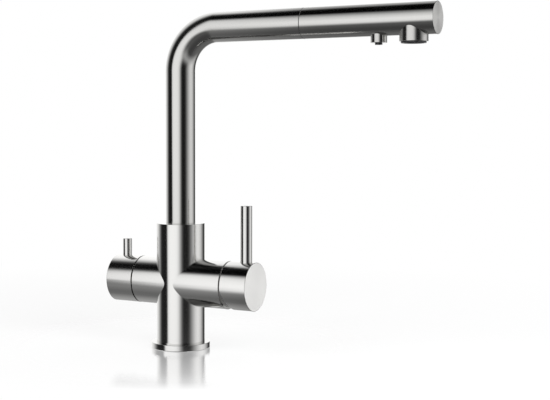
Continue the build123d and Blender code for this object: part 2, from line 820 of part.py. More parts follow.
nut_inset = 1.2
nut_slot_width = 4.0
nut_slot_depth = 2.5
nut_slot_count = 6
nut_length = mixer_mouth - nut_inset - housing_shoulder
with BuildPart() as cartridge_nut:
    turned(across(housing_shoulder), nut_thread_radius, nut_length, bore=housing_neck_radius + slip)
    with BuildSketch(across(housing_shoulder + nut_length - nut_slot_depth)):
        with PolarLocations(nut_thread_radius, nut_slot_count):
            Rectangle(nut_slot_width, nut_slot_width)
    extrude(amount=nut_slot_depth, mode=Mode.SUBTRACT)
cartridge_nut.part.label = "cartridge_nut"
export_step(cartridge_nut.part, "parts/cartridge_nut.step")

# Mixer handle: cap with a wedge relief, pin lever, stem and grub screw

cap_wall = 2.5
cap_end_wall = 3.5
cap_edge = 0.4
relief_spare_angle = 3.0
relief_start_drop = 1.0
mixer_pin_inset = 9.8
mixer_pin_diameter = 10.9
mixer_pin_top = 136.6
pin_tuck = 1.5
pin_stud_radius = 3.0
pin_edge = 0.4
boss_radius = 8.0
boss_setback = 4.6
stem_end_inset = 8.0
grub_radius = 2.5
grub_length = 4.0
grub_inset = 12.0
mixer_rim = mixer_seam_reach + seam_gap / 2
cap_bore = arm_radius - cap_wall
mixer_pin_reach = mixer_reach - mixer_pin_inset
mixer_pin_radius = mixer_pin_diameter / 2
stem_end = mixer_reach - stem_end_inset
boss_start = mixer_rim + boss_setback
cap_inner_end = mixer_reach - cap_end_wall
grub_reach = mixer_reach - grub_inset
pin_foot = arm_height + cap_bore - pin_tuck
stud_foot = arm_height + stem_width / 2 + 2 * running

with BuildPart() as mixer_handle:
    turned(across(mixer_rim), arm_radius, mixer_reach - mixer_rim)
    fillet(rim_edges(mixer_handle, mixer_reach), cap_edge)
    bored(across(mixer_rim), cap_bore, cap_inner_end - mixer_rim)
    turned(across(boss_start), boss_radius, cap_inner_end - boss_start)
    milled(across(boss_start), stem_width + slip, stem_width + slip, stem_end + slip - boss_start)
    # Relief: the lower inner rim is cut away so that the cap can tip towards the arm
    with BuildSketch(Plane((0, -arm_radius - overrun, 0), x_dir=(1, 0, 0), z_dir=(0, -1, 0))):
        relief_top = arm_height - relief_start_drop
        relief_low = arm_height - arm_radius - overrun
        relief_slope = math.tan(math.radians(tilt_limit + relief_spare_angle))
        with BuildLine():
            Polyline(
                (mixer_rim - overrun, relief_top),
                (mixer_rim, relief_top),
                (mixer_rim + relief_slope * (relief_top - relief_low), relief_low),
                (mixer_rim - overrun, relief_low),
                close=True,
            )
        make_face()
    extrude(amount=-2 * (arm_radius + overrun), mode=Mode.SUBTRACT)
    pin_hole_top = arm_height + arm_radius + overrun
    bored(level(pin_foot, mixer_pin_reach), mixer_pin_radius + running, pin_hole_top - pin_foot)
    bored(level(stud_foot, mixer_pin_reach), pin_stud_radius + running, boss_radius)
    bored(level(arm_height - arm_radius - overrun, grub_reach), grub_radius, arm_radius + overrun)
mixer_handle.part.label = "mixer_handle"
export_step(mixer_handle.part, "parts/mixer_handle.step")

# Ball collar: it screws into the arm's mouth in front of the nut and closes the view through the
# relief. Its outside is a ball about the lever's pivot, so the tilting cap clears it.
ball_gap = 0.3
ball_collar_length = 5.4
ball_collar_bore = 15.0
ball_radius = math.hypot(mixer_rim - pivot_reach, cap_bore) - ball_gap
spigot_back = mixer_mouth - nut_inset
ball_end = mixer_mouth + ball_collar_length
seat_angle = math.degrees(math.acos((mixer_mouth - pivot_reach) / ball_radius))
end_angle = math.degrees(math.acos((ball_end - pivot_reach) / ball_radius))
with BuildPart() as ball_collar:
    with BuildSketch(Plane.XZ):
        with BuildLine():
            ball_arc = CenterArc((pivot_reach, arm_height), ball_radius, end_angle, seat_angle - end_angle)
            Polyline(
                ball_arc @ 1,
                (mixer_mouth, arm_height + nut_thread_radius),
                (spigot_back, arm_height + nut_thread_radius),
                (spigot_back, arm_height + ball_collar_bore),
                (ball_end, arm_height + ball_collar_bore),
                ball_arc @ 0,
            )
        make_face()
    revolve(axis=Axis((0, 0, arm_height), (1, 0, 0)))
ball_collar.part.label = "ball_collar"
export_step(ball_collar.part, "parts/ball_collar.step")


def pin_lever(reach, radius, foot, top, stud_radius, stud_low):
    """A straight pin lever with a chamfered top and a threaded stud that screws into the handle's boss."""
    turned(level(foot, reach), radius, top - foot)
    turned(level(stud_low, reach), stud_radius, foot - stud_low)


with BuildPart() as mixer_lever_pin:
    pin_lever(mixer_pin_reach, mixer_pin_radius, pin_foot, mixer_pin_top, pin_stud_radius, stud_foot)
    chamfer(mixer_lever_pin.edges().group_by(Axis.Z)[-1], pin_edge)
mixer_lever_pin.part.label = "mixer_lever_pin"
export_step(mixer_lever_pin.part, "parts/mixer_lever_pin.step")

with BuildPart() as lever_stem:
    stem_back = pivot_reach - stem_width / 2 - slip
    squared(across(stem_back), stem_width, stem_width, stem_end - stem_back)
    squared(across(finger_centre), finger_width, finger_neck, stem_back - finger_centre)
    finger_plane = Plane((finger_centre, -finger_width / 2, arm_height), z_dir=(0, 1, 0))
    turned(finger_plane, finger_radius, finger_width)
    hole_plane = Plane((pivot_reach, -stem_width / 2, arm_height), z_dir=(0, 1, 0))
    bored(hole_plane, pivot_pin_radius + running, stem_width)
lever_stem.part.label = "lever_stem"
export_step(lever_stem.part, "parts/lever_stem.step")

grub_key_radius = 1.3
grub_top = arm_height - stem_width / 2
with BuildPart() as mixer_grub_screw:
    turned(level(grub_top - grub_length, grub_reach), grub_radius - running, grub_length)
    with BuildSketch(level(grub_top - grub_length, grub_reach)):
        RegularPolygon(grub_key_radius, side_count=6)
    extrude(amount=grub_length / 2, mode=Mode.SUBTRACT)
mixer_grub_screw.part.label = "mixer_grub_screw"
export_step(mixer_grub_screw.part, "parts/mixer_grub_screw.step")

# Filter valve: quarter-turn headpart with two discs

filter_neck_radius = 8.0
filter_neck_stand_out = 3.4
filter_hex_thickness = 4.0
spindle_radius = 4.0
spindle_flange = 1.5
headpart_wall = 2.0
filter_disc_thickness = 3.0
filter_chamber_radius = filter_thread_radius - headpart_wall
filter_disc_radius = filter_chamber_radius - 2 * slip
seat_seal_thickness = 1.0
seat_seal_bore = 5.5
filter_port_offset = 3.6
filter_port_radius = 2.2
square_width = 5.6
spindle_end_inset = 8.0
window_radius = 2.2
filter_hex_start = filter_seat + filter_thread_length
filter_hex_end = filter_hex_start + filter_hex_thickness
filter_neck_end = filter_mouth + filter_neck_stand_out
seal_end = filter_seat + seat_seal_thickness
fixed_end = seal_end + filter_disc_thickness
turning_start = fixed_end + disc_gap
turning_end = turning_start + filter_disc_thickness
spindle_flange_end = turning_end + spindle_flange
chamber_end = spindle_flange_end + running


def back_to(reach):
    """A plane square to X on the -X side, facing away from the column."""
    return Plane(origin=(-reach, 0, arm_height), x_dir=(0, -1, 0), z_dir=(-1, 0, 0))


with BuildPart() as filter_headpart:
    turned(back_to(filter_seat), filter_thread_radius, filter_thread_length)
    with BuildSketch(back_to(filter_hex_start)):
        RegularPolygon(filter_hex_radius, side_count=6)
    extrude(amount=filter_hex_thickness)
    turned(back_to(filter_hex_end), filter_neck_radius, filter_neck_end - filter_hex_end)
    bored(back_to(filter_seat), filter_chamber_radius, chamber_end - filter_seat)
    bored(back_to(chamber_end), spindle_radius + running, filter_neck_end - chamber_end)
    window_reach = turning_start + filter_disc_thickness / 2
    window_plane = Plane((-window_reach, filter_thread_radius, arm_height), z_dir=(0, -1, 0))
    bored(window_plane, window_radius, 2 * filter_thread_radius)
filter_headpart.part.label = "filter_headpart"
export_step(filter_headpart.part, "parts/filter_headpart.step")

with BuildPart() as filter_seat_seal:
    turned(back_to(filter_seat), filter_disc_radius, seat_seal_thickness, bore=seat_seal_bore)
filter_seat_seal.part.label = "filter_seat_seal"
export_step(filter_seat_seal.part, "parts/filter_seat_seal.step")

# At rest the turning disc's two holes stand square to the fixed disc's, so the valve is shut
with BuildPart() as filter_fixed_disc:
    turned(back_to(seal_end), filter_disc_radius, filter_disc_thickness)
    for side in (-1, 1):
        bored(
            back_to(seal_end),
            filter_port_radius,
            filter_disc_thickness,
            centre=(side * filter_port_offset, 0),
        )
filter_fixed_disc.part.label = "filter_fixed_disc"
export_step(filter_fixed_disc.part, "parts/filter_fixed_disc.step")

with BuildPart() as filter_turning_disc:
    turned(back_to(turning_start), filter_disc_radius, filter_disc_thickness)
    for side in (-1, 1):
        bored(
            back_to(turning_start),
            filter_port_radius,
            filter_disc_thickness,
            centre=(0, side * filter_port_offset),
        )
filter_turning_disc.part.label = "filter_turning_disc"
export_step(filter_turning_disc.part, "parts/filter_turning_disc.step")

spindle_end = filter_reach - spindle_end_inset
with BuildPart() as filter_spindle:
    turned(back_to(turning_end), filter_disc_radius, spindle_flange)
    turned(back_to(turning_end), spindle_radius, filter_neck_end + running - turning_end)
    square_start = filter_neck_end + running
    squared(back_to(square_start), square_width, square_width, spindle_end - square_start)
filter_spindle.part.label = "filter_spindle"
export_step(filter_spindle.part, "parts/filter_spindle.step")

# Filter handle: cap, pin lever and grub screw

filter_pin_inset = 9.7
filter_pin_diameter = 8.7
filter_pin_top = 100.5
filter_stud_radius = 2.5
filter_boss_radius = 7.0
filter_boss_setback = 8.0
filter_grub_inset = 16.0
filter_rim = filter_seam_reach + seam_gap / 2
filter_pin_reach = filter_reach - filter_pin_inset
filter_pin_radius = filter_pin_diameter / 2
filter_boss_start = filter_rim + filter_boss_setback
filter_inner_end = filter_reach - cap_end_wall
filter_grub_reach = filter_reach - filter_grub_inset
filter_stud_foot = arm_height + square_width / 2 + 2 * running

with BuildPart() as filter_handle:
    turned(back_to(filter_rim), arm_radius, filter_reach - filter_rim)
    fillet(rim_edges(filter_handle, -filter_reach), cap_edge)
    bored(back_to(filter_rim), cap_bore, filter_inner_end - filter_rim)
    turned(back_to(filter_boss_start), filter_boss_radius, filter_inner_end - filter_boss_start)
    milled(
        back_to(filter_boss_start),
        square_width + slip,
        square_width + slip,
        spindle_end + slip - filter_boss_start,
    )
    bored(level(pin_foot, -filter_pin_reach), filter_pin_radius + running, pin_hole_top - pin_foot)
    bored(level(filter_stud_foot, -filter_pin_reach), filter_stud_radius + running, filter_boss_radius)
    bored(
        level(arm_height - arm_radius - overrun, -filter_grub_reach), grub_radius, arm_radius + overrun
    )
filter_handle.part.label = "filter_handle"
export_step(filter_handle.part, "parts/filter_handle.step")

with BuildPart() as filter_lever_pin:
    pin_lever(
        -filter_pin_reach, filter_pin_radius, pin_foot, filter_pin_top, filter_stud_radius, filter_stud_foot
    )
    chamfer(filter_lever_pin.edges().group_by(Axis.Z)[-1], pin_edge)
filter_lever_pin.part.label = "filter_lever_pin"
export_step(filter_lever_pin.part, "parts/filter_lever_pin.step")

filter_grub_top = arm_height - square_width / 2
with BuildPart() as filter_grub_screw:
    turned(level(filter_grub_top - grub_length, -filter_grub_reach), grub_radius - running, grub_length)
    with BuildSketch(level(filter_grub_top - grub_length, -filter_grub_reach)):
        RegularPolygon(grub_key_radius, side_count=6)
    extrude(amount=grub_length / 2, mode=Mode.SUBTRACT)
filter_grub_screw.part.label = "filter_grub_screw"
export_step(filter_grub_screw.part, "parts/filter_grub_screw.step")
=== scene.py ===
# Pull-out mixer tap with a second valve for filtered water: the visible pieces, dressed round the packed
# frame. Z is up, X runs along both arms towards the mixer lever, and the user stands on the -Y side. The
# frame is in metres. Shapes are modelled in millimetres and brought to metres when each one becomes a
# piece.
import math

import bmesh
import bpy
from mathutils import Matrix, Vector
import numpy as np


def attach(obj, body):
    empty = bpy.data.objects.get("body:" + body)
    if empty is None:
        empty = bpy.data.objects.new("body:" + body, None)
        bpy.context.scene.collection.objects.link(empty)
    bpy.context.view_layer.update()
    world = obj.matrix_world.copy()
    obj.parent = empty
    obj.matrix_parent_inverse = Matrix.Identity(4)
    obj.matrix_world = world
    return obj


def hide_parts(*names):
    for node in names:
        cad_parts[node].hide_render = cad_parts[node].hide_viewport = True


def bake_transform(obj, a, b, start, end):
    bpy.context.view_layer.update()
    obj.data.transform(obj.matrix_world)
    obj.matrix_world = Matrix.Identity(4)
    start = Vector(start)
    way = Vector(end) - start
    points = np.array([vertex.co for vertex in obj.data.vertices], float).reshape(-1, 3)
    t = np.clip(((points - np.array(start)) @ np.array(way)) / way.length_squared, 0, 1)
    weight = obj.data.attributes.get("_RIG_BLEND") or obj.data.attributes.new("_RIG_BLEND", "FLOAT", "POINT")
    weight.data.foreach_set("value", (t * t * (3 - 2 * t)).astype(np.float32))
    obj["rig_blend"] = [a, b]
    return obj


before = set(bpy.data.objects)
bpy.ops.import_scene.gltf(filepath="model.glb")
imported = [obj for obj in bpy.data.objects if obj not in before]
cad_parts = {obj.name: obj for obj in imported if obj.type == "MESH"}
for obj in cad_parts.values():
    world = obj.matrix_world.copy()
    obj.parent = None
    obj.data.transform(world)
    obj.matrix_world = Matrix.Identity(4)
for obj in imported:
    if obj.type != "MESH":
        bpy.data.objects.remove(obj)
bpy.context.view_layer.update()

# Camera: it stands to the right of the user, 1.1 m from the column and at two thirds of the tap's height,
# and looks almost level through a long lens.
camera_data = bpy.data.cameras.new("photo_camera")
camera_data.sensor_width = 36.0
camera_data.lens = 76.06
camera_data.shift_x = 0.0909
camera_data.shift_y = -0.0455
camera = bpy.data.objects.new("photo_camera", camera_data)
camera.location = (0.56353, -0.94494, 0.21232)
camera.rotation_euler = (math.radians(90.0 - 2.55), 0.0, math.radians(28.62))
bpy.context.scene.collection.objects.link(camera)
bpy.context.scene.camera = camera
bpy.context.scene.view_settings.view_transform = "Standard"

# Studio: a white room. Bare steel shows only what it mirrors, so dark flags stand in the room for it: one
# on each side of the front light, one behind, one overhead, and a dim table below.


def add_node(tree, kind, inputs=(), **settings):
    """Adds a shader node, sets its properties, and fills or links its inputs, given as (socket, value)."""
    node = tree.nodes.new(kind)
    for name, value in settings.items():
        setattr(node, name, value)
    for socket, value in dict(inputs).items():
        if isinstance(value, bpy.types.NodeSocket):
            tree.links.new(value, node.inputs[socket])
        else:
            node.inputs[socket].default_value = value
    return node


def math_node(tree, operation, first, second=0.0, third=0.0):
    """A Math node's result."""
    return add_node(tree, "ShaderNodeMath", {0: first, 1: second, 2: third}, operation=operation).outputs[0]


def ramp_node(tree, factor, stops, interpolation="LINEAR"):
    """A grey ramp over a factor, from (position, brightness) stops."""
    node = add_node(tree, "ShaderNodeValToRGB", {"Fac": factor})
    ramp = node.color_ramp
    ramp.interpolation = interpolation
    while len(ramp.elements) < len(stops):
        ramp.elements.new(1.0)
    for element, (position, brightness) in zip(ramp.elements, stops):
        element.position = position
        element.color = (brightness, brightness, brightness, 1.0)
    return node.outputs["Color"]


def mix_node(tree, factor, first, second, blend_type="MIX"):
    """A Mix node's colour."""
    node = add_node(tree, "ShaderNodeMix", data_type="RGBA", blend_type=blend_type)
    for socket, value in ((0, factor), (6, first), (7, second)):
        if isinstance(value, bpy.types.NodeSocket):
            tree.links.new(value, node.inputs[socket])
        else:
            node.inputs[socket].default_value = value
    return node.outputs[2]


room = bpy.data.worlds.new("studio_room")
bpy.context.scene.world = room
room.use_nodes = True
tree = room.node_tree
tree.nodes.clear()
look = add_node(tree, "ShaderNodeTexCoord").outputs["Object"]
apart = add_node(tree, "ShaderNodeSeparateXYZ", {0: look}).outputs
bearing = math_node(tree, "ARCTAN2", apart["X"], apart["Y"])
bearing = math_node(tree, "MULTIPLY_ADD", bearing, 0.5 / math.pi, 0.5)
# The walls, as (bearing, brightness): bearings are degrees from +Y, clockwise from above. A flag is where
# the brightness falls to nearly nothing. One ramp takes too few stops, so the walls are in two parts that
# meet behind.
MEETING = 10
left_walls = [
    (-180, 1.08), (-157, 1.08), (-147, 1.02), (-141, 0.86), (-138, 0.42), (-135, 0.1), (-132, 0.012),
    (-116, 0.012), (-107, 0.04), (-99, 0.18), (-90, 0.44), (-79, 0.74), (-65, 0.92), (-40, 1.1), (-16, 1.1),
    (0, 0.03), (MEETING, 0.03),
]
right_walls = [
    (MEETING, 0.03), (20, 0.16), (29, 0.38), (43, 0.72), (60, 0.9), (76, 0.74), (85, 0.54), (94, 0.34),
    (103, 0.15), (111, 0.04), (119, 0.012), (134, 0.012), (140, 0.05), (146, 0.2), (152, 0.45), (159, 0.8),
    (168, 1.02), (180, 1.08),
]


def turn_share(angle):
    """A bearing in degrees as a share of the whole turn."""
    return (angle + 180) / 360


def heights(stops):
    """Turns (degrees above the horizon, brightness) stops into positions on the rise."""
    return [((math.sin(math.radians(angle)) + 1) / 2, brightness) for angle, brightness in stops]


def reaches(stops):
    """Turns (direction along an axis from -1 to 1, brightness) stops into positions on a ramp."""
    return [((along + 1) / 2, brightness) for along, brightness in stops]


rise, along_x, along_y = (math_node(tree, "MULTIPLY_ADD", apart[axis], 0.5, 0.5) for axis in "ZXY")
# The edge of the front light leans: low down it stands farther from the left flag
LEFT_FLAG = -120
lean = ramp_node(tree, rise, heights([(-8, 8 / 360), (0, 4 / 360), (45, 0.0)]))
by_left_flag = math_node(tree, "LESS_THAN", bearing, turn_share(LEFT_FLAG))
leaning = math_node(tree, "MULTIPLY_ADD", lean, by_left_flag, bearing)
left_light, right_light = (
    ramp_node(tree, place, [(turn_share(angle), brightness) for angle, brightness in walls])
    for place, walls in ((leaning, left_walls), (bearing, right_walls))
)
beyond = math_node(tree, "GREATER_THAN", bearing, turn_share(MEETING))
wall_light = mix_node(tree, beyond, left_light, right_light)
above_table = ramp_node(tree, rise, heights([(-31, 0.0), (-26, 0.13), (-21, 0.45), (-15, 0.88), (-10, 1.0)]))
# The spout's run mirrors what lies less far to the left than the arms do. That part of the room has a
# dimmer table and a flag of its own overhead.
towards_spout = ramp_node(tree, along_x, reaches([(-0.475, 0.0), (-0.425, 1.0)]))
table_light = ramp_node(tree, along_y, reaches([
    (-0.75, 0.26), (-0.6, 0.19), (-0.4, 0.145), (-0.15, 0.155), (0.07, 0.24), (0.31, 0.32), (0.5, 0.37),
]))
dim_table = mix_node(tree, 1.0, table_light, (0.42, 0.42, 0.42, 1.0), "MULTIPLY")
table_light = mix_node(tree, towards_spout, table_light, dim_table)
# The table's far right end is lighter
away = ramp_node(tree, along_x, reaches([(0.2, 0.0), (0.5, 1.0)]))
away = math_node(tree, "MULTIPLY", away, ramp_node(tree, rise, heights([(-42, 0.0), (-26, 1.0)])))
table_light = mix_node(tree, away, table_light, (0.5, 0.5, 0.5, 1.0))
# The overhead flag is a round one, 10 degrees off the vertical towards the user's left
FLAG_WAY = (-0.0868, -0.1504, 0.9848)
overhead = add_node(tree, "ShaderNodeVectorMath", {0: look, 1: FLAG_WAY}, operation="DOT_PRODUCT")
ceiling_light = ramp_node(tree, overhead.outputs["Value"], [
    (0.70, 1.0), (0.77, 0.8), (0.82, 0.62), (0.85, 0.46), (0.868, 0.28), (0.885, 0.13), (0.90, 0.05),
    (0.92, 0.006),
])
spout_flag = ramp_node(tree, rise, heights([
    (6, 1.0), (16, 0.86), (23, 0.77), (30, 0.63), (36, 0.5), (45, 0.42), (55, 0.36), (66, 0.2),
]))
mirrored = mix_node(tree, above_table, table_light, wall_light)
mirrored = mix_node(tree, 1.0, mirrored, ceiling_light, "MULTIPLY")
mirrored = mix_node(tree, towards_spout, mirrored, mix_node(tree, 1.0, mirrored, spout_flag, "MULTIPLY"))
light_path = add_node(tree, "ShaderNodeLightPath").outputs
seen = math_node(tree, "MAXIMUM", light_path["Is Camera Ray"], light_path["Is Glossy Ray"])
seen = math_node(tree, "MAXIMUM", seen, light_path["Is Transmission Ray"])
room_colour = mix_node(tree, seen, (0.5, 0.5, 0.5, 1.0), (1.0, 1.0, 1.0, 1.0))
# The flags stand close to the steel, so the floor's own sharp mirror, which is a singular ray, misses them
by_steel = math_node(tree, "SUBTRACT", light_path["Is Glossy Ray"], light_path["Is Singular Ray"])
room_colour = mix_node(tree, by_steel, room_colour, mirrored)
background = add_node(tree, "ShaderNodeBackground", {"Color": room_colour, "Strength": 1.0})
add_node(tree, "ShaderNodeOutputWorld", {"Surface": background.outputs[0]})

# The floor: white, a little dimmed by the tap's shadow, and polished so that it mirrors the foot of the tap
FLOOR_DROP = 0.0001
MIRROR_REACH = 0.2
MIRROR_MOST = 0.62
TEXTURE_TILT = 0.03
floor_mesh = bmesh.new()
bmesh.ops.create_grid(floor_mesh, x_segments=1, y_segments=1, size=6.0)
bmesh.ops.translate(floor_mesh, verts=floor_mesh.verts, vec=(0.0, 0.0, -FLOOR_DROP))
floor_data = bpy.data.meshes.new("studio_floor")
floor_mesh.to_mesh(floor_data)
floor_mesh.free()
studio_floor = bpy.data.objects.new("studio_floor", floor_data)
bpy.context.scene.collection.objects.link(studio_floor)
studio_floor.visible_glossy = False
floor_paint = bpy.data.materials.new("studio_floor")
floor_paint.use_nodes = True
tree = floor_paint.node_tree
tree.nodes.clear()
light_path = add_node(tree, "ShaderNodeLightPath").outputs
seen = math_node(tree, "MAXIMUM", light_path["Is Camera Ray"], light_path["Is Glossy Ray"])
seen = math_node(tree, "MAXIMUM", seen, light_path["Is Transmission Ray"])
place = add_node(tree, "ShaderNodeTexCoord").outputs["Object"]
reach = add_node(tree, "ShaderNodeVectorMath", {0: place}, operation="LENGTH").outputs["Value"]
far = ramp_node(tree, reach, [(0.22, 0.0), (0.7, 1.0)], "EASE")
matt_tone = mix_node(tree, far, (0.2, 0.2, 0.2, 1.0), (0.0, 0.0, 0.0, 1.0))
matt = add_node(tree, "ShaderNodeBsdfDiffuse", {"Color": matt_tone})
glow_strength = math_node(tree, "MULTIPLY", seen, math_node(tree, "MULTIPLY_ADD", far, 0.32, 0.68))
glow = add_node(tree, "ShaderNodeEmission", {"Color": (1.0, 1.0, 1.0, 1.0), "Strength": glow_strength})
white = add_node(tree, "ShaderNodeAddShader", {0: matt.outputs[0], 1: glow.outputs[0]})
near = math_node(tree, "DIVIDE", reach, MIRROR_REACH)
near = ramp_node(tree, near, [(0.25, 1.6), (0.6, 1.3), (0.78, 0.85), (0.91, 0.0)])
polish = add_node(tree, "ShaderNodeFresnel", {"IOR": 2.2}).outputs[0]
gloss_share = math_node(tree, "MINIMUM", math_node(tree, "MULTIPLY", polish, near), MIRROR_MOST)
# The mirror is sharp, and the floor's fine texture spreads it
texture = add_node(tree, "ShaderNodeTexWhiteNoise", {0: place}).outputs["Color"]
tilt = add_node(
    tree, "ShaderNodeVectorMath",
    {0: texture, 1: (2 * TEXTURE_TILT, 2 * TEXTURE_TILT, 0.0), 2: (-TEXTURE_TILT, -TEXTURE_TILT, 1.0)},
    operation="MULTIPLY_ADD",
).outputs[0]
tilt = add_node(tree, "ShaderNodeVectorMath", {0: tilt}, operation="NORMALIZE").outputs[0]
gloss = add_node(
    tree, "ShaderNodeBsdfGlossy", {"Color": (1.0, 1.0, 1.0, 1.0), "Roughness": 0.0, "Normal": tilt},
)
surface = add_node(tree, "ShaderNodeMixShader", {0: gloss_share, 1: white.outputs[0], 2: gloss.outputs[0]})
add_node(tree, "ShaderNodeOutputMaterial", {"Surface": surface.outputs[0]})
floor_data.materials.append(floor_paint)

for name, place, size, power in (
    ("key_light", (-0.9, -1.3, 1.6), 1.2, 26.0),
    ("fill_light", (1.3, -0.6, 1.2), 1.2, 34.0),
    ("back_light", (0.2, 1.4, 1.5), 1.4, 14.0),
):
    lamp_data = bpy.data.lights.new(name, "AREA")
    lamp_data.shape = "SQUARE"
    lamp_data.size = size
    lamp_data.energy = power
    lamp = bpy.data.objects.new(name, lamp_data)
    lamp.location = place
    lamp.rotation_euler = (Vector((0.0, 0.0, 0.1)) - Vector(place)).to_track_quat("-Z", "Y").to_euler()
    # The steel mirrors the room, not the lamps
    lamp.visible_glossy = False
    bpy.context.scene.collection.objects.link(lamp)

# Fixing: a hollow brass shank screws up into the body and passes through the hole in the worktop. Below it
# a rubber washer, a zinc-plated steel washer and a hexagonal brass nut with two jack screws pull the tap
# down tight.
THREAD_PITCH = 1.5
THREAD_DEPTH = 0.75
THREAD_CREST = 0.1
THREAD_SEGMENTS = 72
SHANK_RADIUS = 17.0
SHANK_BORE = 15.0
SHANK_LOW = -52.0
SHANK_HIGH = 13.5
SHANK_CHAMFER = 1.0


def as_piece(name, shape, paints, body, stands_for, rounds=()):
    """Makes a shape, modelled in millimetres, a piece in metres that moves with its body and stands for its
    nodes."""
    bmesh.ops.scale(shape, vec=(0.001, 0.001, 0.001), verts=shape.verts)
    mesh = bpy.data.meshes.new(name)
    shape.to_mesh(mesh)
    shape.free()
    mesh.shade_smooth()
    mesh.set_sharp_from_angle(angle=math.radians(40.0))
    for paint in paints:
        mesh.materials.append(paint)
    piece = bpy.data.objects.new(name, mesh)
    bpy.context.scene.collection.objects.link(piece)
    if rounds:
        true_rounds(mesh, rounds)
    else:
        piece.modifiers.new("even_shading", "WEIGHTED_NORMAL").keep_sharp = True
    if body:
        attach(piece, body)
    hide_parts(*stands_for)
    return piece


def paint_nodes(paint, *names):
    """Gives solids that stay as the frame has them their finish."""
    for name in names:
        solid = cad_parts[name].data
        solid.materials.clear()
        solid.materials.append(paint)


def moulded_paint(name, colour, roughness, metallic=0.0, grain=900.0, mottle=0.12, relief=0.05):
    """A cast, moulded or cut surface. Its colour varies a little in soft patches, over a fine grain."""
    paint = bpy.data.materials.new(name)
    paint.use_nodes = True
    tree = paint.node_tree
    shader = tree.nodes["Principled BSDF"]
    place = add_node(tree, "ShaderNodeTexCoord").outputs["Object"]
    patches = add_node(tree, "ShaderNodeTexNoise", {"Vector": place, "Scale": 70.0, "Detail": 3.0}).outputs[0]
    fine = add_node(tree, "ShaderNodeTexNoise", {"Vector": place, "Scale": grain, "Detail": 2.0}).outputs[0]
    dark = tuple(channel * (1.0 - mottle) for channel in colour) + (1.0,)
    light = tuple(min(1.0, channel * (1.0 + mottle)) for channel in colour) + (1.0,)
    tree.links.new(mix_node(tree, patches, dark, light), shader.inputs["Base Color"])
    tree.links.new(math_node(tree, "MULTIPLY_ADD", fine, 0.16, roughness - 0.08), shader.inputs["Roughness"])
    shader.inputs["Metallic"].default_value = metallic
    bump = add_node(tree, "ShaderNodeBump", {"Strength": relief, "Distance": 0.0002, "Height": fine})
    tree.links.new(bump.outputs[0], shader.inputs["Normal"])
    return paint


brass_paint = moulded_paint("turned_brass", (0.72, 0.53, 0.27), 0.34, metallic=1.0, grain=1500.0, mottle=0.06)
zinc_paint = moulded_paint(
    "zinc_plated_steel", (0.66, 0.67, 0.70), 0.38, metallic=1.0, grain=700.0, mottle=0.10,
)
rubber_paint = moulded_paint("black_rubber", (0.028, 0.028, 0.028), 0.62, grain=1200.0, relief=0.15)

# One tooth of the thread is swept up its helix, then both ends are cut square and joined to the bore
shank = bmesh.new()
tooth = [
    shank.verts.new((radius, 0.0, SHANK_LOW - THREAD_PITCH + THREAD_PITCH * share))
    for radius, share in (
        (SHANK_RADIUS - THREAD_DEPTH, 0.0), (SHANK_RADIUS, (1 - THREAD_CREST) / 2),
        (SHANK_RADIUS, (1 + THREAD_CREST) / 2), (SHANK_RADIUS - THREAD_DEPTH, 1.0),
    )
]
flanks = [shank.edges.new(pair) for pair in zip(tooth, tooth[1:])]
turns = math.ceil((SHANK_HIGH - SHANK_LOW) / THREAD_PITCH) + 2
steps = THREAD_SEGMENTS * turns
bmesh.ops.spin(
    shank, geom=tooth + flanks, cent=(0, 0, 0), axis=(0, 0, 1), dvec=(0, 0, THREAD_PITCH * turns / steps),
    angle=2 * math.pi * turns, steps=steps,
)
bmesh.ops.remove_doubles(shank, verts=shank.verts, dist=0.01)
bore_rings = []
for height, outward in ((SHANK_LOW, -1), (SHANK_HIGH, 1)):
    cut = bmesh.ops.bisect_plane(
        shank, geom=shank.verts[:] + shank.edges[:] + shank.faces[:], plane_co=(0, 0, height),
        plane_no=(0, 0, outward), clear_outer=True,
    )
    rim = [part for part in cut["geom_cut"] if isinstance(part, bmesh.types.BMEdge)]
    circle = bmesh.ops.create_circle(
        shank, segments=THREAD_SEGMENTS, radius=SHANK_BORE, matrix=Matrix.Translation((0, 0, height)),
    )["verts"]
    ring = sorted({edge for vert in circle for edge in vert.link_edges}, key=lambda edge: edge.index)
    bmesh.ops.bridge_loops(shank, edges=rim + ring)
    bore_rings.append(ring)
bmesh.ops.bridge_loops(shank, edges=bore_rings[0] + bore_rings[1])
# A chamfer leads the thread into its nut
for vert in shank.verts:
    reach = vert.co.xy.length
    limit = SHANK_RADIUS - SHANK_CHAMFER + vert.co.z - SHANK_LOW
    if reach > limit:
        vert.co.xy *= limit / reach
bmesh.ops.recalc_face_normals(shank, faces=shank.faces)
fixing_shank = as_piece("fixing_shank", shank, [brass_paint], "tap_body", ["threaded_shank"])
paint_nodes(brass_paint, "clamp_nut")
paint_nodes(zinc_paint, "steel_washer", "jack_screws")
paint_nodes(rubber_paint, "rubber_washer")
# The worktop hides all of this from the polished parts above it
fixing_shank.visible_glossy = False
for name in ("clamp_nut", "steel_washer", "jack_screws", "rubber_washer"):
    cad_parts[name].visible_glossy = False

# Base: a turned stainless ring covers the hole in the worktop and carries the column. Its outer edges are
# broken with a small radius, and a flat rubber gasket lies in its underside.
RING_RADIUS = 28.0
RING_HEIGHT = 5.5
RING_BORE = 17.1
RING_EDGE = 0.4
GASKET_SEAT = 26.1
GASKET_DEPTH = 1.5


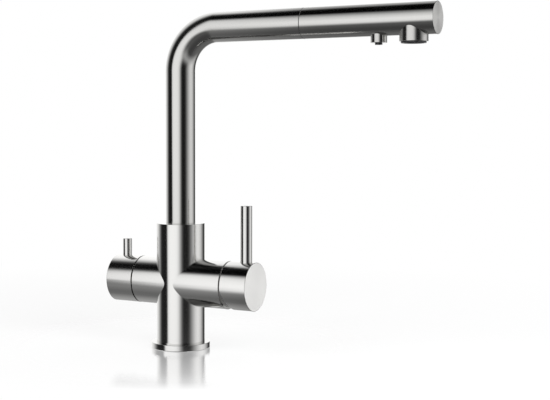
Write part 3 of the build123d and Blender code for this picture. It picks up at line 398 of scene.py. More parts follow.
def turned(outline, steps=144):
    """A shape turned about Z from its (radius, height, edge radius) corners, as a lathe cuts it."""
    shape = bmesh.new()
    corners = [shape.verts.new((radius, 0.0, height)) for radius, height, _ in outline]
    for first, second in zip(corners, corners[1:] + corners[:1]):
        if first.co.x > 0 or second.co.x > 0:
            shape.edges.new((first, second))
    for corner, (_, _, edge_radius) in zip(corners, outline):
        if edge_radius:
            bmesh.ops.bevel(
                shape, geom=[corner], offset=edge_radius, offset_type="OFFSET", segments=3, profile=0.5,
                affect="VERTICES", material=-1,
            )
    bmesh.ops.spin(
        shape, geom=shape.verts[:] + shape.edges[:], cent=(0, 0, 0), axis=(0, 0, 1), angle=2 * math.pi,
        steps=steps, use_merge=True,
    )
    bmesh.ops.remove_doubles(shape, verts=shape.verts, dist=0.0005)
    bmesh.ops.recalc_face_normals(shape, faces=shape.faces)
    return shape


def placed(shape, centre, facing=(0, 0, 1)):
    """Turns a shape from +Z to the way it faces, and moves it to its place."""
    turn = Vector((0, 0, 1)).rotation_difference(Vector(facing)).to_matrix().to_4x4()
    bmesh.ops.transform(shape, matrix=Matrix.Translation(centre) @ turn, verts=shape.verts)
    return shape


def steel_paint(name, tone, roughness, centre=None, axis=(0, 0, 1), drawn=0.6, mirrors=1.0):
    """Brushed stainless steel. The brushing runs in fine lines round an axis through a centre in millimetres,
    so mirrored light is drawn out across them. With no centre, the lines follow the piece's own run and
    around attributes. A lower value of mirrors makes a paler face that mirrors less: partly a coarser
    finish, partly painted light that brightens the face."""
    paint = bpy.data.materials.new(name)
    paint.use_nodes = True
    tree = paint.node_tree
    shader = tree.nodes["Principled BSDF"]
    place = add_node(tree, "ShaderNodeTexCoord").outputs["Object"]
    if centre is None:
        run = add_node(tree, "ShaderNodeAttribute", attribute_name="run").outputs["Fac"]
        around = add_node(tree, "ShaderNodeAttribute", attribute_name="around").outputs["Vector"]
        line_place = add_node(tree, "ShaderNodeCombineXYZ", {0: run}).outputs[0]
    else:
        middle = tuple(part / 1000 for part in centre)
        spoke = add_node(tree, "ShaderNodeVectorMath", {0: place, 1: middle}, operation="SUBTRACT").outputs[0]
        axis_and_spoke = {0: axis, 1: spoke}
        around = add_node(tree, "ShaderNodeVectorMath", axis_and_spoke, operation="CROSS_PRODUCT").outputs[0]
        run = add_node(tree, "ShaderNodeVectorMath", axis_and_spoke, operation="DOT_PRODUCT").outputs["Value"]
        reach = add_node(tree, "ShaderNodeVectorMath", {0: around}, operation="LENGTH").outputs["Value"]
        line_place = add_node(tree, "ShaderNodeCombineXYZ", {0: run, 1: reach}).outputs[0]
    lines = add_node(
        tree, "ShaderNodeTexNoise", {"Vector": line_place, "Scale": 2600.0, "Detail": 2.0},
    ).outputs[0]
    patches = add_node(tree, "ShaderNodeTexNoise", {"Vector": place, "Scale": 45.0, "Detail": 2.0}).outputs[0]
    light = tuple(tone) + (1.0,)
    dark = tuple(channel * 0.94 for channel in tone) + (1.0,)
    tree.links.new(mix_node(tree, lines, dark, light), shader.inputs["Base Color"])
    gloss = math_node(tree, "MULTIPLY_ADD", lines, 0.06, roughness - 0.05)
    tree.links.new(math_node(tree, "MULTIPLY_ADD", patches, 0.04, gloss), shader.inputs["Roughness"])
    turn = add_node(
        tree, "ShaderNodeVectorTransform", {0: around}, vector_type="VECTOR", convert_from="OBJECT",
        convert_to="WORLD",
    ).outputs[0]
    tangent = add_node(tree, "ShaderNodeVectorMath", {0: turn}, operation="NORMALIZE").outputs[0]
    tree.links.new(tangent, shader.inputs["Tangent"])
    bump = add_node(tree, "ShaderNodeBump", {"Strength": 0.008, "Distance": 0.0001, "Height": lines})
    tree.links.new(bump.outputs[0], shader.inputs["Normal"])
    shader.inputs["Metallic"].default_value = mirrors
    shader.inputs["Anisotropic"].default_value = drawn
    shader.inputs["Anisotropic Rotation"].default_value = 0.25
    return paint


column_steel = steel_paint("column_brushed_steel", (0.84, 0.835, 0.82), 0.12, centre=(0, 0, 0))
foot_ring = turned([
    (RING_BORE, GASKET_DEPTH, 0.0), (RING_BORE, RING_HEIGHT, 0.0), (RING_RADIUS, RING_HEIGHT, RING_EDGE),
    (RING_RADIUS, 0.0, RING_EDGE), (GASKET_SEAT, 0.0, 0.0), (GASKET_SEAT, GASKET_DEPTH, 0.0),
], steps=192)
as_piece("foot_ring", foot_ring, [column_steel], "tap_body", ["base_ring"])
paint_nodes(rubber_paint, "deck_gasket")

# Body: one stainless casting, ground and brushed, of the column and the two arms that cross it. The arms
# are a millimetre slimmer than the column. It is bored for the spout, the hose, the mixer and the filter
# valve.
COLUMN_RADIUS = 23.0
COLUMN_TOP = 118.0
ARM_RADIUS = 22.5
ARM_HEIGHT = 62.0
MIXER_MOUTH = 52.6
FILTER_MOUTH = 41.1
RIM_RADIUS = 0.25
# Cutters run on into free space, by this much or to a place named CUT
PAST = 1.0
SOCKET_RADIUS = 14.05
SOCKET_FLOOR = 86.0
SOCKET_LEAD = 0.4
PORTS_FLOOR = 4.0
HOSE_WAY = 6.75
CARTRIDGE_FLOOR = 21.0
CARTRIDGE_BORE = 17.6
MIXER_SEAT = 19.05
MIXER_SEAT_FLOOR = 43.0
MIXER_SEAT_CUT = 54.0
HEADPART_FLOOR = 17.4
HEADPART_BORE = 10.45
FILTER_SEAT = 14.6
FILTER_SEAT_FLOOR = 32.9
FILTER_SEAT_CUT = 43.0
SCREW_HOLE = 2.5
SCREW_CUT_START = 12.0
SCREW_CUT_END = 24.0
body_axis = (0, 0, 0)
arm_centre = (0, 0, ARM_HEIGHT)


def worked(shape, operation, *tools):
    """Cuts each tool's shape from a shape, or joins it on."""
    blocks = []
    for form in (shape, *tools):
        block = bpy.data.objects.new("block", bpy.data.meshes.new("block"))
        form.to_mesh(block.data)
        form.free()
        bpy.context.scene.collection.objects.link(block)
        blocks.append(block)
    for tool in blocks[1:]:
        work = blocks[0].modifiers.new("work", "BOOLEAN")
        work.operation = operation
        work.solver = "EXACT"
        work.object = tool
    result = bpy.data.meshes.new_from_object(blocks[0].evaluated_get(bpy.context.evaluated_depsgraph_get()))
    done = bmesh.new()
    done.from_mesh(result)
    for block in blocks:
        bpy.data.objects.remove(block)
    bpy.data.meshes.remove(result)
    bmesh.ops.remove_doubles(done, verts=done.verts, dist=0.0005)
    return done


def true_rounds(mesh, rounds):
    """Gives each face on a round surface that surface's exact shading and its paint, so that mirrored light
    runs unbroken up to the cuts. A round is its centre, axis, radius and paint. Faces square to an axis are
    shaded flat."""
    shading = [Vector()] * len(mesh.loops)
    for face in mesh.polygons:
        for centre, axis, radius, paint in rounds:
            along = Vector(axis)
            offsets = [mesh.vertices[index].co * 1000 - Vector(centre) for index in face.vertices]
            spokes = [offset - along * offset.dot(along) for offset in offsets]
            on_round = all(abs(spoke.length - radius) < 0.02 for spoke in spokes)
            if on_round and abs(face.normal.dot(along)) < 0.01:
                side = 1 if face.normal.dot(spokes[0]) > 0 else -1
                for loop, spoke in zip(face.loop_indices, spokes):
                    shading[loop] = side * spoke.normalized()
                face.material_index = paint
                break
        else:
            if max(abs(part) for part in face.normal) > 0.9999:
                for loop in face.loop_indices:
                    shading[loop] = face.normal.copy()
    mesh.normals_split_custom_set(shading)


# The arms and the handle caps take a lighter copy of the column's steel, a painted highlight that makes them
# read brighter than the column.
arm_steel_painted_highlight = steel_paint("arm_brushed_steel_painted_highlight", (0.89, 0.885, 0.87), 0.10, centre=arm_centre, axis=(1, 0, 0))
column = turned([
    (0.0, RING_HEIGHT, 0.0), (COLUMN_RADIUS, RING_HEIGHT, 0.0), (COLUMN_RADIUS, COLUMN_TOP, RIM_RADIUS),
    (0.0, COLUMN_TOP, 0.0),
], steps=192)
arms = placed(turned([
    (0.0, -FILTER_MOUTH, 0.0), (ARM_RADIUS, -FILTER_MOUTH, RIM_RADIUS), (ARM_RADIUS, MIXER_MOUTH, RIM_RADIUS),
    (0.0, MIXER_MOUTH, 0.0),
], steps=192), arm_centre, (1, 0, 0))
casting = worked(column, "UNION", arms)
lead_start = COLUMN_TOP - SOCKET_LEAD
spout_socket = turned([
    (0.0, SOCKET_FLOOR, 0.0), (SOCKET_RADIUS, SOCKET_FLOOR, 0.0), (SOCKET_RADIUS, lead_start, 0.0),
    (SOCKET_RADIUS + PAST, lead_start + PAST, 0.0), (0.0, lead_start + PAST, 0.0),
], steps=192)
hose_way = turned([
    (0.0, PORTS_FLOOR, 0.0), (HOSE_WAY, PORTS_FLOOR, 0.0), (HOSE_WAY, SOCKET_FLOOR + PAST, 0.0),
    (0.0, SOCKET_FLOOR + PAST, 0.0),
], steps=72)
shank_socket = turned([
    (0.0, PORTS_FLOOR, 0.0), (RING_BORE, PORTS_FLOOR, 0.0), (RING_BORE, SHANK_HIGH, 0.0),
    (0.0, SHANK_HIGH, 0.0),
], steps=72)
mixer_seat = placed(turned([
    (0.0, CARTRIDGE_FLOOR, 0.0), (CARTRIDGE_BORE, CARTRIDGE_FLOOR, 0.0),
    (CARTRIDGE_BORE, MIXER_SEAT_FLOOR, 0.0), (MIXER_SEAT, MIXER_SEAT_FLOOR, 0.0),
    (MIXER_SEAT, MIXER_SEAT_CUT, 0.0), (0.0, MIXER_SEAT_CUT, 0.0),
]), arm_centre, (1, 0, 0))
filter_seat = placed(turned([
    (0.0, HEADPART_FLOOR, 0.0), (HEADPART_BORE, HEADPART_FLOOR, 0.0),
    (HEADPART_BORE, FILTER_SEAT_FLOOR, 0.0), (FILTER_SEAT, FILTER_SEAT_FLOOR, 0.0),
    (FILTER_SEAT, FILTER_SEAT_CUT, 0.0), (0.0, FILTER_SEAT_CUT, 0.0),
]), arm_centre, (-1, 0, 0))
screw_hole = placed(turned([
    (0.0, SCREW_CUT_START, 0.0), (SCREW_HOLE, SCREW_CUT_START, 0.0), (SCREW_HOLE, SCREW_CUT_END, 0.0),
    (0.0, SCREW_CUT_END, 0.0),
], steps=48), (0, 0, (SOCKET_FLOOR + COLUMN_TOP) / 2), (0, 1, 0))
casting = worked(
    casting, "DIFFERENCE", spout_socket, hose_way, shank_socket, mixer_seat, filter_seat, screw_hole,
)
# The arms' faces get the lighter copy of the steel, a painted highlight.
as_piece(
    "column_and_arms", casting, [column_steel, arm_steel_painted_highlight], "tap_body", ["body_casting"],
    rounds=[
        (body_axis, (0, 0, 1), COLUMN_RADIUS, 0), (arm_centre, (1, 0, 0), ARM_RADIUS, 1),
        (body_axis, (0, 0, 1), SOCKET_RADIUS, 0), (arm_centre, (1, 0, 0), MIXER_SEAT, 1),
        (arm_centre, (1, 0, 0), FILTER_SEAT, 1),
    ],
)

# Spout bearing: a brass foot, soldered into the tube, turns in the body's socket. It runs in two acetal
# rings and on a washer, with an O-ring below, and a headless screw from behind holds it down.
bearing_paint = moulded_paint("acetal_bearing", (0.78, 0.78, 0.75), 0.40)
dark_steel_paint = moulded_paint("blackened_steel", (0.15, 0.15, 0.155), 0.36, metallic=1.0, grain=1000.0)
paint_nodes(brass_paint, "spout_foot")
paint_nodes(bearing_paint, "thrust_washer", "lower_bearing_ring", "upper_bearing_ring")
paint_nodes(rubber_paint, "foot_seal")
paint_nodes(dark_steel_paint, "retaining_screw")

# Spout: one length of drawn stainless tube, bent once through a right angle and brushed. It stands in the
# column's top and ends at a fine seam, where the spray head docks in a plastic guide sleeve.
SPOUT_RADIUS = 14.0
SPOUT_BORE = 12.5
SPOUT_LOW = 109.05
SPOUT_SEAM = 128.6
SPOUT_HEIGHT = 301.0
BEND_RADIUS = 40.0
BEND_START = SPOUT_HEIGHT - BEND_RADIUS


def bent_tube(outer, bore, low, reach, straight_steps, segments):
    """A tube that rises on the column's axis, turns a right angle and runs on along X. Its run attribute is
    the length from its low end in metres, and its around attribute points round the tube."""
    tube = bmesh.new()
    run = tube.verts.layers.float.new("run")
    around = tube.verts.layers.float_vector.new("around")
    low_rings = []
    high_rings = []
    for radius in (outer, bore):
        ring = bmesh.ops.create_circle(
            tube, segments=segments, radius=radius, matrix=Matrix.Translation((0, 0, low)),
        )["verts"]
        ring_edges = list({edge for vert in ring for edge in vert.link_edges})
        low_rings += ring_edges
        step = (reach - BEND_RADIUS) / straight_steps
        for stage, move in enumerate([(0, 0, BEND_START - low)] + [(step, 0, 0)] * straight_steps):
            grown = bmesh.ops.extrude_edge_only(tube, edges=ring_edges)["geom"]
            ring = [part for part in grown if isinstance(part, bmesh.types.BMVert)]
            fresh = set(ring)
            edges = [part for part in grown if isinstance(part, bmesh.types.BMEdge)]
            ring_edges = [edge for edge in edges if fresh.issuperset(edge.verts)]
            bmesh.ops.translate(tube, vec=move, verts=ring)
            if stage == 0:
                bend = bmesh.ops.spin(
                    tube, geom=ring + ring_edges, cent=(BEND_RADIUS, 0, BEND_START), axis=(0, 1, 0),
                    angle=math.pi / 2, steps=48,
                )["geom_last"]
                ring_edges = [part for part in bend if isinstance(part, bmesh.types.BMEdge)]
        high_rings += ring_edges
    bmesh.ops.bridge_loops(tube, edges=low_rings)
    bmesh.ops.bridge_loops(tube, edges=high_rings)
    bmesh.ops.remove_doubles(tube, verts=tube.verts, dist=0.001)
    bmesh.ops.recalc_face_normals(tube, faces=tube.faces)
    for vert in tube.verts:
        if vert.co.x >= BEND_RADIUS:
            turned_by = math.pi / 2
            middle = Vector((vert.co.x, 0, SPOUT_HEIGHT))
        elif vert.co.z <= BEND_START:
            turned_by = 0.0
            middle = Vector((0, 0, vert.co.z))
        else:
            turned_by = math.atan2(vert.co.z - BEND_START, BEND_RADIUS - vert.co.x)
            inwards = Vector((math.cos(turned_by), 0, -math.sin(turned_by)))
            middle = Vector((BEND_RADIUS, 0, BEND_START)) - inwards * BEND_RADIUS
        heading = Vector((math.sin(turned_by), 0, math.cos(turned_by)))
        rise = min(vert.co.z, BEND_START) - low if turned_by < math.pi / 2 else BEND_START - low
        vert[run] = (rise + BEND_RADIUS * turned_by + max(vert.co.x - BEND_RADIUS, 0)) / 1000
        vert[around] = heading.cross(vert.co - middle).normalized()
    return tube


# The spout takes a darker copy of the column's steel, painted shade that makes it read dimmer than the arms.
spout_steel_painted_shade = steel_paint("spout_brushed_steel_painted_shade", (0.71, 0.705, 0.69), 0.12)
spout = bent_tube(SPOUT_RADIUS, SPOUT_BORE, SPOUT_LOW, SPOUT_SEAM, 1, 144)
as_piece("bent_spout", spout, [spout_steel_painted_shade], "spout", ["spout_tube"])
grey_plastic_paint = moulded_paint("grey_moulded_plastic", (0.30, 0.31, 0.33), 0.42)
paint_nodes(grey_plastic_paint, "mouth_guide")

# Hose: a rubber hose in a grey nylon braid carries the mixed water through the spout to the head, with the
# thin clear tube for filtered water inside it. Both slide with the head. A brass connector ends the hose
# below the shank.
HOSE_RADIUS = 6.0
HOSE_BORE = 4.2
HOSE_LOW = -44.0
HOSE_HEAD_END = 112.0
LINE_RADIUS = 2.5
LINE_BORE = 1.5
LINE_LOW = -56.0
LINE_HEAD_END = 138.9
PULL_LENGTH = 250.0
BRAID_PITCH = 7.0
BRAID_STRANDS = 12


def braid_map(shape):
    """Unrolls a tube for its braid. The part that the head draws out is mapped at its drawn-out length."""
    sheet = shape.loops.layers.uv.new("braid")
    run = shape.verts.layers.float["run"]
    around = shape.verts.layers.float_vector["around"]
    for face in shape.faces:
        side = None
        for loop in face.loops:
            vert = loop.vert
            share = min(max((vert.co.x - BEND_RADIUS) / (HOSE_HEAD_END - BEND_RADIUS), 0), 1)
            drawn = vert[run] * 1000 + PULL_LENGTH * share * share * (3 - 2 * share)
            angle = math.atan2(vert[around].y, vert[around].z - vert[around].x)
            if side is None:
                side = angle
            angle += 2 * math.pi * round((side - angle) / (2 * math.pi))
            loop[sheet].uv = (drawn / BRAID_PITCH, angle * BRAID_STRANDS / (2 * math.pi))


def braid_paint(name):
    """Two sets of flat nylon strands that cross over and under each other round the hose."""
    paint = bpy.data.materials.new(name)
    paint.use_nodes = True
    tree = paint.node_tree
    shader = tree.nodes["Principled BSDF"]
    sheet = add_node(tree, "ShaderNodeUVMap", uv_map="braid").outputs[0]
    apart = add_node(tree, "ShaderNodeSeparateXYZ", {0: sheet}).outputs
    strand_tops = []
    for operation in ("ADD", "SUBTRACT"):
        across = math_node(tree, operation, apart["X"], apart["Y"])
        saw = math_node(tree, "PINGPONG", across, 0.5)
        strand_tops.append(math_node(tree, "SMOOTH_MIN", math_node(tree, "MULTIPLY", saw, 2.0), 0.8, 0.2))
    over = math_node(tree, "GREATER_THAN", math_node(tree, "PINGPONG", apart["X"], 0.5), 0.25)
    weave = mix_node(tree, over, strand_tops[0], strand_tops[1])
    fibre = add_node(tree, "ShaderNodeTexNoise", {"Vector": sheet, "Scale": 14.0, "Detail": 2.0}).outputs[0]
    # The strands darken with the weave's height towards their edges: painted shade in the valleys between
    # them.
    strand = mix_node(tree, weave, (0.035, 0.036, 0.04, 1.0), (0.25, 0.26, 0.28, 1.0))
    sheen = mix_node(tree, math_node(tree, "MULTIPLY", fibre, 0.3), strand, (0.42, 0.43, 0.45, 1.0))
    tree.links.new(sheen, shader.inputs["Base Color"])
    shader.inputs["Roughness"].default_value = 0.5
    bump = add_node(tree, "ShaderNodeBump", {"Strength": 0.6, "Distance": 0.0005, "Height": weave})
    tree.links.new(bump.outputs[0], shader.inputs["Normal"])
    return paint


clear_tube_paint = moulded_paint("clear_tube", (0.72, 0.75, 0.78), 0.22, grain=300.0, mottle=0.05)
hose = bent_tube(HOSE_RADIUS, HOSE_BORE, HOSE_LOW, HOSE_HEAD_END, 72, 48)
water_line = bent_tube(LINE_RADIUS, LINE_BORE, LINE_LOW, LINE_HEAD_END, 72, 48)
braid_map(hose)
for name, shape, paint, slot_name, node in (
    ("hose_in_braid", hose, braid_paint("nylon_braid"), "hose", "pull_out_hose"),
    ("filtered_water_line", water_line, clear_tube_paint, "clear_tube", "filter_water_tube"),
):
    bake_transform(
        as_piece(name, shape, [paint], None, [node]), "spout", "spray_head",
        (BEND_RADIUS / 1000, 0, SPOUT_HEIGHT / 1000), (HOSE_HEAD_END / 1000, 0, SPOUT_HEIGHT / 1000),
    )
paint_nodes(brass_paint, "hose_connector", "hose_nipple")
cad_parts["hose_connector"].visible_glossy = False

# Spray head: a stainless tube with a closed end slides off the spout on the hose. A plastic core inside it
# carries both waters. The aerator hangs below in a turned collar, and a smaller outlet with its own nozzle
# gives filtered water.
HEAD_START = 128.9
HEAD_END = 251.5
HEAD_WALL_END = 248.5
AERATOR_X = 230.1
AERATOR_RADIUS = 12.4
AERATOR_BORE = 10.9
AERATOR_LOW = 281.5
AERATOR_HIGH = 298.0
AERATOR_NECK = 8.6
AERATOR_NECK_LOW = 293.8
FILTER_OUTLET_X = 198.6
FILTER_OUTLET_RADIUS = 7.2
FILTER_OUTLET_BORE = 3.25
FILTER_OUTLET_LOW = 281.4
FILTER_OUTLET_HIGH = 291.0
OUTLET_CLEARANCE = 0.05
OUTLET_CUT = 270.0
spout_line = (0, 0, SPOUT_HEIGHT)
aerator_centre = (AERATOR_X, 0, 0)
filter_outlet_centre = (FILTER_OUTLET_X, 0, 0)


def faces_painted(shape, direction, reach, paint):
    """Gives the flat faces that look one way, at one distance along it, another of the piece's paints."""
    way = Vector(direction)
    for face in shape.faces:
        if face.normal.dot(way) > 0.999 and abs(face.calc_center_median().dot(way) - reach) < 0.01:
            face.material_index = paint


def drill(radius, start, end, centre):
    """A round upright cutter from one height to another."""
    cutter = turned([(0.0, start, 0.0), (radius, start, 0.0), (radius, end, 0.0), (0.0, end, 0.0)])
    return placed(cutter, centre)


# The head takes the same darker copy of the steel, painted shade.
head_steel_painted_shade = steel_paint("head_brushed_steel_painted_shade", (0.71, 0.705, 0.69), 0.12, centre=spout_line, axis=(1, 0, 0))
# The head's turned end takes a paler, less mirroring copy of the steel: partly the coarser turned finish,
# partly a painted sheen.
head_end_steel_painted_sheen = steel_paint(
    "head_turned_end_painted_sheen", (0.72, 0.715, 0.70), 0.38, centre=spout_line, axis=(1, 0, 0), drawn=0.8, mirrors=0.6,
)
head = placed(turned([
    (0.0, HEAD_WALL_END, 0.0), (SPOUT_BORE, HEAD_WALL_END, 0.0), (SPOUT_BORE, HEAD_START, 0.0),
    (SPOUT_RADIUS, HEAD_START, 0.35), (SPOUT_RADIUS, HEAD_END, 0.3), (0.0, HEAD_END, 0.0),
]), spout_line, (1, 0, 0))
aerator_hole = AERATOR_RADIUS + OUTLET_CLEARANCE
filter_outlet_hole = FILTER_OUTLET_RADIUS + OUTLET_CLEARANCE
head = worked(
    head, "DIFFERENCE", drill(aerator_hole, OUTLET_CUT, AERATOR_HIGH, aerator_centre),
    drill(filter_outlet_hole, OUTLET_CUT, FILTER_OUTLET_HIGH, filter_outlet_centre),
)
# The flat end gets the paler copy of the steel, partly a painted sheen.
faces_painted(head, (1, 0, 0), HEAD_END, 1)
as_piece(
    "pull_out_head", head, [head_steel_painted_shade, head_end_steel_painted_sheen], "spray_head", ["head_shell"],
    rounds=[
        (spout_line, (1, 0, 0), SPOUT_RADIUS, 0), (spout_line, (1, 0, 0), SPOUT_BORE, 0),
        (aerator_centre, (0, 0, 1), aerator_hole, 0),
        (filter_outlet_centre, (0, 0, 1), filter_outlet_hole, 0),
    ],
)
aerator_steel = steel_paint("aerator_turned_steel", (0.66, 0.655, 0.64), 0.2, centre=aerator_centre)
aerator = placed(turned([
    (AERATOR_BORE, AERATOR_LOW, 0.25), (AERATOR_RADIUS, AERATOR_LOW, 0.4),
    (AERATOR_RADIUS, AERATOR_HIGH, 0.0), (AERATOR_NECK, AERATOR_HIGH, 0.0),
    (AERATOR_NECK, AERATOR_NECK_LOW, 0.0), (AERATOR_BORE, AERATOR_NECK_LOW, 0.0),
]), aerator_centre)
as_piece("aerator_ring", aerator, [aerator_steel], "spray_head", ["aerator_collar"])
outlet_steel = steel_paint("outlet_turned_steel", (0.66, 0.655, 0.64), 0.2, centre=filter_outlet_centre)
outlet = placed(turned([
    (FILTER_OUTLET_BORE, FILTER_OUTLET_LOW, 0.2), (FILTER_OUTLET_RADIUS, FILTER_OUTLET_LOW, 0.35),
    (FILTER_OUTLET_RADIUS, FILTER_OUTLET_HIGH, 0.0), (FILTER_OUTLET_BORE, FILTER_OUTLET_HIGH, 0.0),
]), filter_outlet_centre)
as_piece("filter_outlet_ring", outlet, [outlet_steel], "spray_head", ["filter_outlet_collar"])
dark_plastic_paint = moulded_paint("dark_moulded_plastic", (0.05, 0.05, 0.055), 0.36)
crimp_paint = moulded_paint("crimped_steel", (0.62, 0.62, 0.61), 0.30, metallic=1.0)
paint_nodes(crimp_paint, "hose_ferrule")
paint_nodes(grey_plastic_paint, "head_core", "aerator_screen")
paint_nodes(dark_plastic_paint, "non_return_valve", "aerator_cage", "filter_nozzle")
paint_nodes(rubber_paint, "docking_ring", "aerator_gasket")

# Mixer: a ceramic-disc cartridge with its brass nut sits in the right arm, behind a domed steel collar. The
# handle is a turned cap with a wedge cut from below to let it tilt. A long pin lever screws into its boss.
MIXER_START = 53.8
MIXER_END = 80.0
MIXER_LID = 76.5
MIXER_BOSS_START = 58.4
MIXER_BOSS_RADIUS = 8.0
STEM_SOCKET = 8.1
STEM_SOCKET_END = 72.1
STEM_CUT = 56.0
HANDLE_BORE = 20.0
RELIEF_ANGLE = 19.0
RELIEF_DROP = 1.0
MIXER_PIN_X = 70.2
MIXER_PIN_RADIUS = 5.45
MIXER_PIN_TOP = 136.6
MIXER_PIN_FOOT = 66.1
MIXER_PIN_TANG = 3.0
MIXER_SCREW_X = 68.0
PIN_SEAT = 80.5
PIN_CUT = 82.0
PIN_CLEARANCE = 0.05
GRUB_HOLE = 2.5
ABOVE_ARMS = 90.0
BELOW_ARMS = 36.0
mixer_pin_line = (MIXER_PIN_X, 0, 0)
mixer_screw_line = (MIXER_SCREW_X, 0, 0)
# The caps' turned ends take a paler, less mirroring copy of the steel: partly the coarser turned finish,
# partly a painted sheen that makes the faces read bright.
arm_end_steel_painted_sheen = steel_paint(
    "arm_turned_end_painted_sheen", (0.93, 0.925, 0.91), 0.38, centre=arm_centre, axis=(1, 0, 0), drawn=0.8, mirrors=0.3,
)


def square_socket(width, start, end):
    """A square cutter along the arms' axis."""
    cutter = bmesh.new()
    size = Matrix.Diagonal((end - start, width, width, 1))
    middle = Matrix.Translation(((start + end) / 2, 0, ARM_HEIGHT))
    bmesh.ops.create_cube(cutter, size=1.0, matrix=middle @ size)
    return cutter


cap = placed(turned([
    (0.0, MIXER_BOSS_START, 0.0), (MIXER_BOSS_RADIUS, MIXER_BOSS_START, 0.3),
    (MIXER_BOSS_RADIUS, MIXER_LID, 0.0), (HANDLE_BORE, MIXER_LID, 0.0), (HANDLE_BORE, MIXER_START, 0.0),
    (ARM_RADIUS, MIXER_START, 0.2), (ARM_RADIUS, MIXER_END, 0.4), (0.0, MIXER_END, 0.0),
], steps=192), arm_centre, (1, 0, 0))
slope = math.radians(RELIEF_ANGLE)
relief = bmesh.ops.bisect_plane(
    cap, geom=cap.verts[:] + cap.edges[:] + cap.faces[:], plane_co=(MIXER_START, 0, ARM_HEIGHT - RELIEF_DROP),
    plane_no=(-math.cos(slope), 0, -math.sin(slope)), clear_outer=True,
)
bmesh.ops.holes_fill(cap, edges=[part for part in relief["geom_cut"] if isinstance(part, bmesh.types.BMEdge)])
bmesh.ops.recalc_face_normals(cap, faces=cap.faces)
mixer_pin_hole = MIXER_PIN_RADIUS + PIN_CLEARANCE
cap = worked(
    cap, "DIFFERENCE", square_socket(STEM_SOCKET, STEM_CUT, STEM_SOCKET_END),
    drill(mixer_pin_hole, PIN_SEAT, ABOVE_ARMS, mixer_pin_line),
    drill(MIXER_PIN_TANG + PIN_CLEARANCE, MIXER_PIN_FOOT, PIN_CUT, mixer_pin_line),
    drill(GRUB_HOLE, BELOW_ARMS, ARM_HEIGHT, mixer_screw_line),
)
# The flat end gets the paler copy of the steel, partly a painted sheen.
faces_painted(cap, (1, 0, 0), MIXER_END, 1)
as_piece(
    "mixer_cap", cap, [arm_steel_painted_highlight, arm_end_steel_painted_sheen], "mixer_lever", ["mixer_handle"],
    rounds=[
        (arm_centre, (1, 0, 0), ARM_RADIUS, 0), (arm_centre, (1, 0, 0), HANDLE_BORE, 0),
        (mixer_pin_line, (0, 0, 1), mixer_pin_hole, 0), (mixer_screw_line, (0, 0, 1), GRUB_HOLE, 0),
    ],
)
mixer_pin_steel = steel_paint("mixer_pin_steel", (0.80, 0.795, 0.78), 0.16, centre=mixer_pin_line)
mixer_pin = placed(turned([
    (0.0, MIXER_PIN_FOOT, 0.0), (MIXER_PIN_TANG, MIXER_PIN_FOOT, 0.3), (MIXER_PIN_TANG, PIN_SEAT, 0.0),
    (MIXER_PIN_RADIUS, PIN_SEAT, 0.0), (MIXER_PIN_RADIUS, MIXER_PIN_TOP, 0.4), (0.0, MIXER_PIN_TOP, 0.0),
], steps=96), mixer_pin_line)
as_piece("mixer_pin", mixer_pin, [mixer_pin_steel], "mixer_lever", ["mixer_lever_pin"])
# The ball collar sits in shade inside the cap's wedge. Its steel is a paler, less mirroring copy, painted
# light that brightens it.
collar_steel_painted_light = steel_paint(
    "collar_steel_painted_light", (0.86, 0.855, 0.84), 0.3, centre=arm_centre, axis=(1, 0, 0), mirrors=0.7,
)
paint_nodes(collar_steel_painted_light, "ball_collar")
cartridge_paint = moulded_paint("cartridge_plastic", (0.74, 0.74, 0.71), 0.38)
ceramic_paint = moulded_paint("lapped_ceramic", (0.86, 0.86, 0.83), 0.16, mottle=0.04)
paint_nodes(cartridge_paint, "cartridge_housing")
paint_nodes(grey_plastic_paint, "cartridge_base", "turning_carrier", "disc_carrier")
paint_nodes(ceramic_paint, "fixed_disc", "moving_disc")
paint_nodes(rubber_paint, "cartridge_seals")
paint_nodes(brass_paint, "cartridge_nut", "lever_stem")
paint_nodes(dark_steel_paint, "lever_pivot_pin", "mixer_grub_screw")

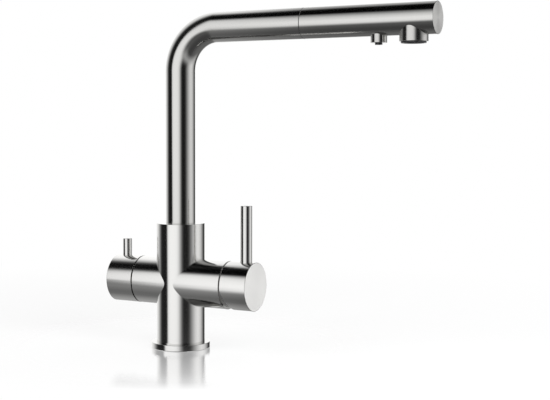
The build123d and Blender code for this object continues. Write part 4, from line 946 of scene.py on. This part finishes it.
# Filter valve: a brass headpart with two small ceramic discs screws into the left arm. Its spindle turns a
# quarter turn with a turned cap and a short pin lever.
FILTER_START = 42.3
FILTER_END = 70.0
FILTER_LID = 66.5
FILTER_BOSS_START = 50.3
FILTER_BOSS_RADIUS = 7.0
SPINDLE_SOCKET = 5.7
SPINDLE_SOCKET_END = -62.1
SPINDLE_CUT = -48.0
FILTER_PIN_X = -60.3
FILTER_PIN_RADIUS = 4.35
FILTER_PIN_TOP = 100.5
FILTER_PIN_FOOT = 64.9
FILTER_PIN_TANG = 2.5
FILTER_SCREW_X = -54.0
filter_pin_line = (FILTER_PIN_X, 0, 0)
filter_screw_line = (FILTER_SCREW_X, 0, 0)
filter_cap = placed(turned([
    (0.0, FILTER_BOSS_START, 0.0), (FILTER_BOSS_RADIUS, FILTER_BOSS_START, 0.3),
    (FILTER_BOSS_RADIUS, FILTER_LID, 0.0), (HANDLE_BORE, FILTER_LID, 0.0), (HANDLE_BORE, FILTER_START, 0.0),
    (ARM_RADIUS, FILTER_START, 0.2), (ARM_RADIUS, FILTER_END, 0.4), (0.0, FILTER_END, 0.0),
], steps=192), arm_centre, (-1, 0, 0))
filter_pin_hole = FILTER_PIN_RADIUS + PIN_CLEARANCE
filter_cap = worked(
    filter_cap, "DIFFERENCE", square_socket(SPINDLE_SOCKET, SPINDLE_SOCKET_END, SPINDLE_CUT),
    drill(filter_pin_hole, PIN_SEAT, ABOVE_ARMS, filter_pin_line),
    drill(FILTER_PIN_TANG + PIN_CLEARANCE, FILTER_PIN_FOOT, PIN_CUT, filter_pin_line),
    drill(GRUB_HOLE, BELOW_ARMS, ARM_HEIGHT, filter_screw_line),
)
# The flat end gets the paler copy of the steel, partly a painted sheen.
faces_painted(filter_cap, (-1, 0, 0), FILTER_END, 1)
as_piece(
    "filter_cap", filter_cap, [arm_steel_painted_highlight, arm_end_steel_painted_sheen], "filter_turn", ["filter_handle"],
    rounds=[
        (arm_centre, (1, 0, 0), ARM_RADIUS, 0), (arm_centre, (1, 0, 0), HANDLE_BORE, 0),
        (filter_pin_line, (0, 0, 1), filter_pin_hole, 0), (filter_screw_line, (0, 0, 1), GRUB_HOLE, 0),
    ],
)
filter_pin_steel = steel_paint("filter_pin_steel", (0.80, 0.795, 0.78), 0.16, centre=filter_pin_line)
filter_pin = placed(turned([
    (0.0, FILTER_PIN_FOOT, 0.0), (FILTER_PIN_TANG, FILTER_PIN_FOOT, 0.3), (FILTER_PIN_TANG, PIN_SEAT, 0.0),
    (FILTER_PIN_RADIUS, PIN_SEAT, 0.0), (FILTER_PIN_RADIUS, FILTER_PIN_TOP, 0.4), (0.0, FILTER_PIN_TOP, 0.0),
], steps=96), filter_pin_line)
as_piece("filter_pin", filter_pin, [filter_pin_steel], "filter_turn", ["filter_lever_pin"])
paint_nodes(brass_paint, "filter_headpart", "filter_spindle")
paint_nodes(ceramic_paint, "filter_fixed_disc", "filter_turning_disc")
paint_nodes(rubber_paint, "filter_seat_seal")
paint_nodes(dark_steel_paint, "filter_grub_screw")
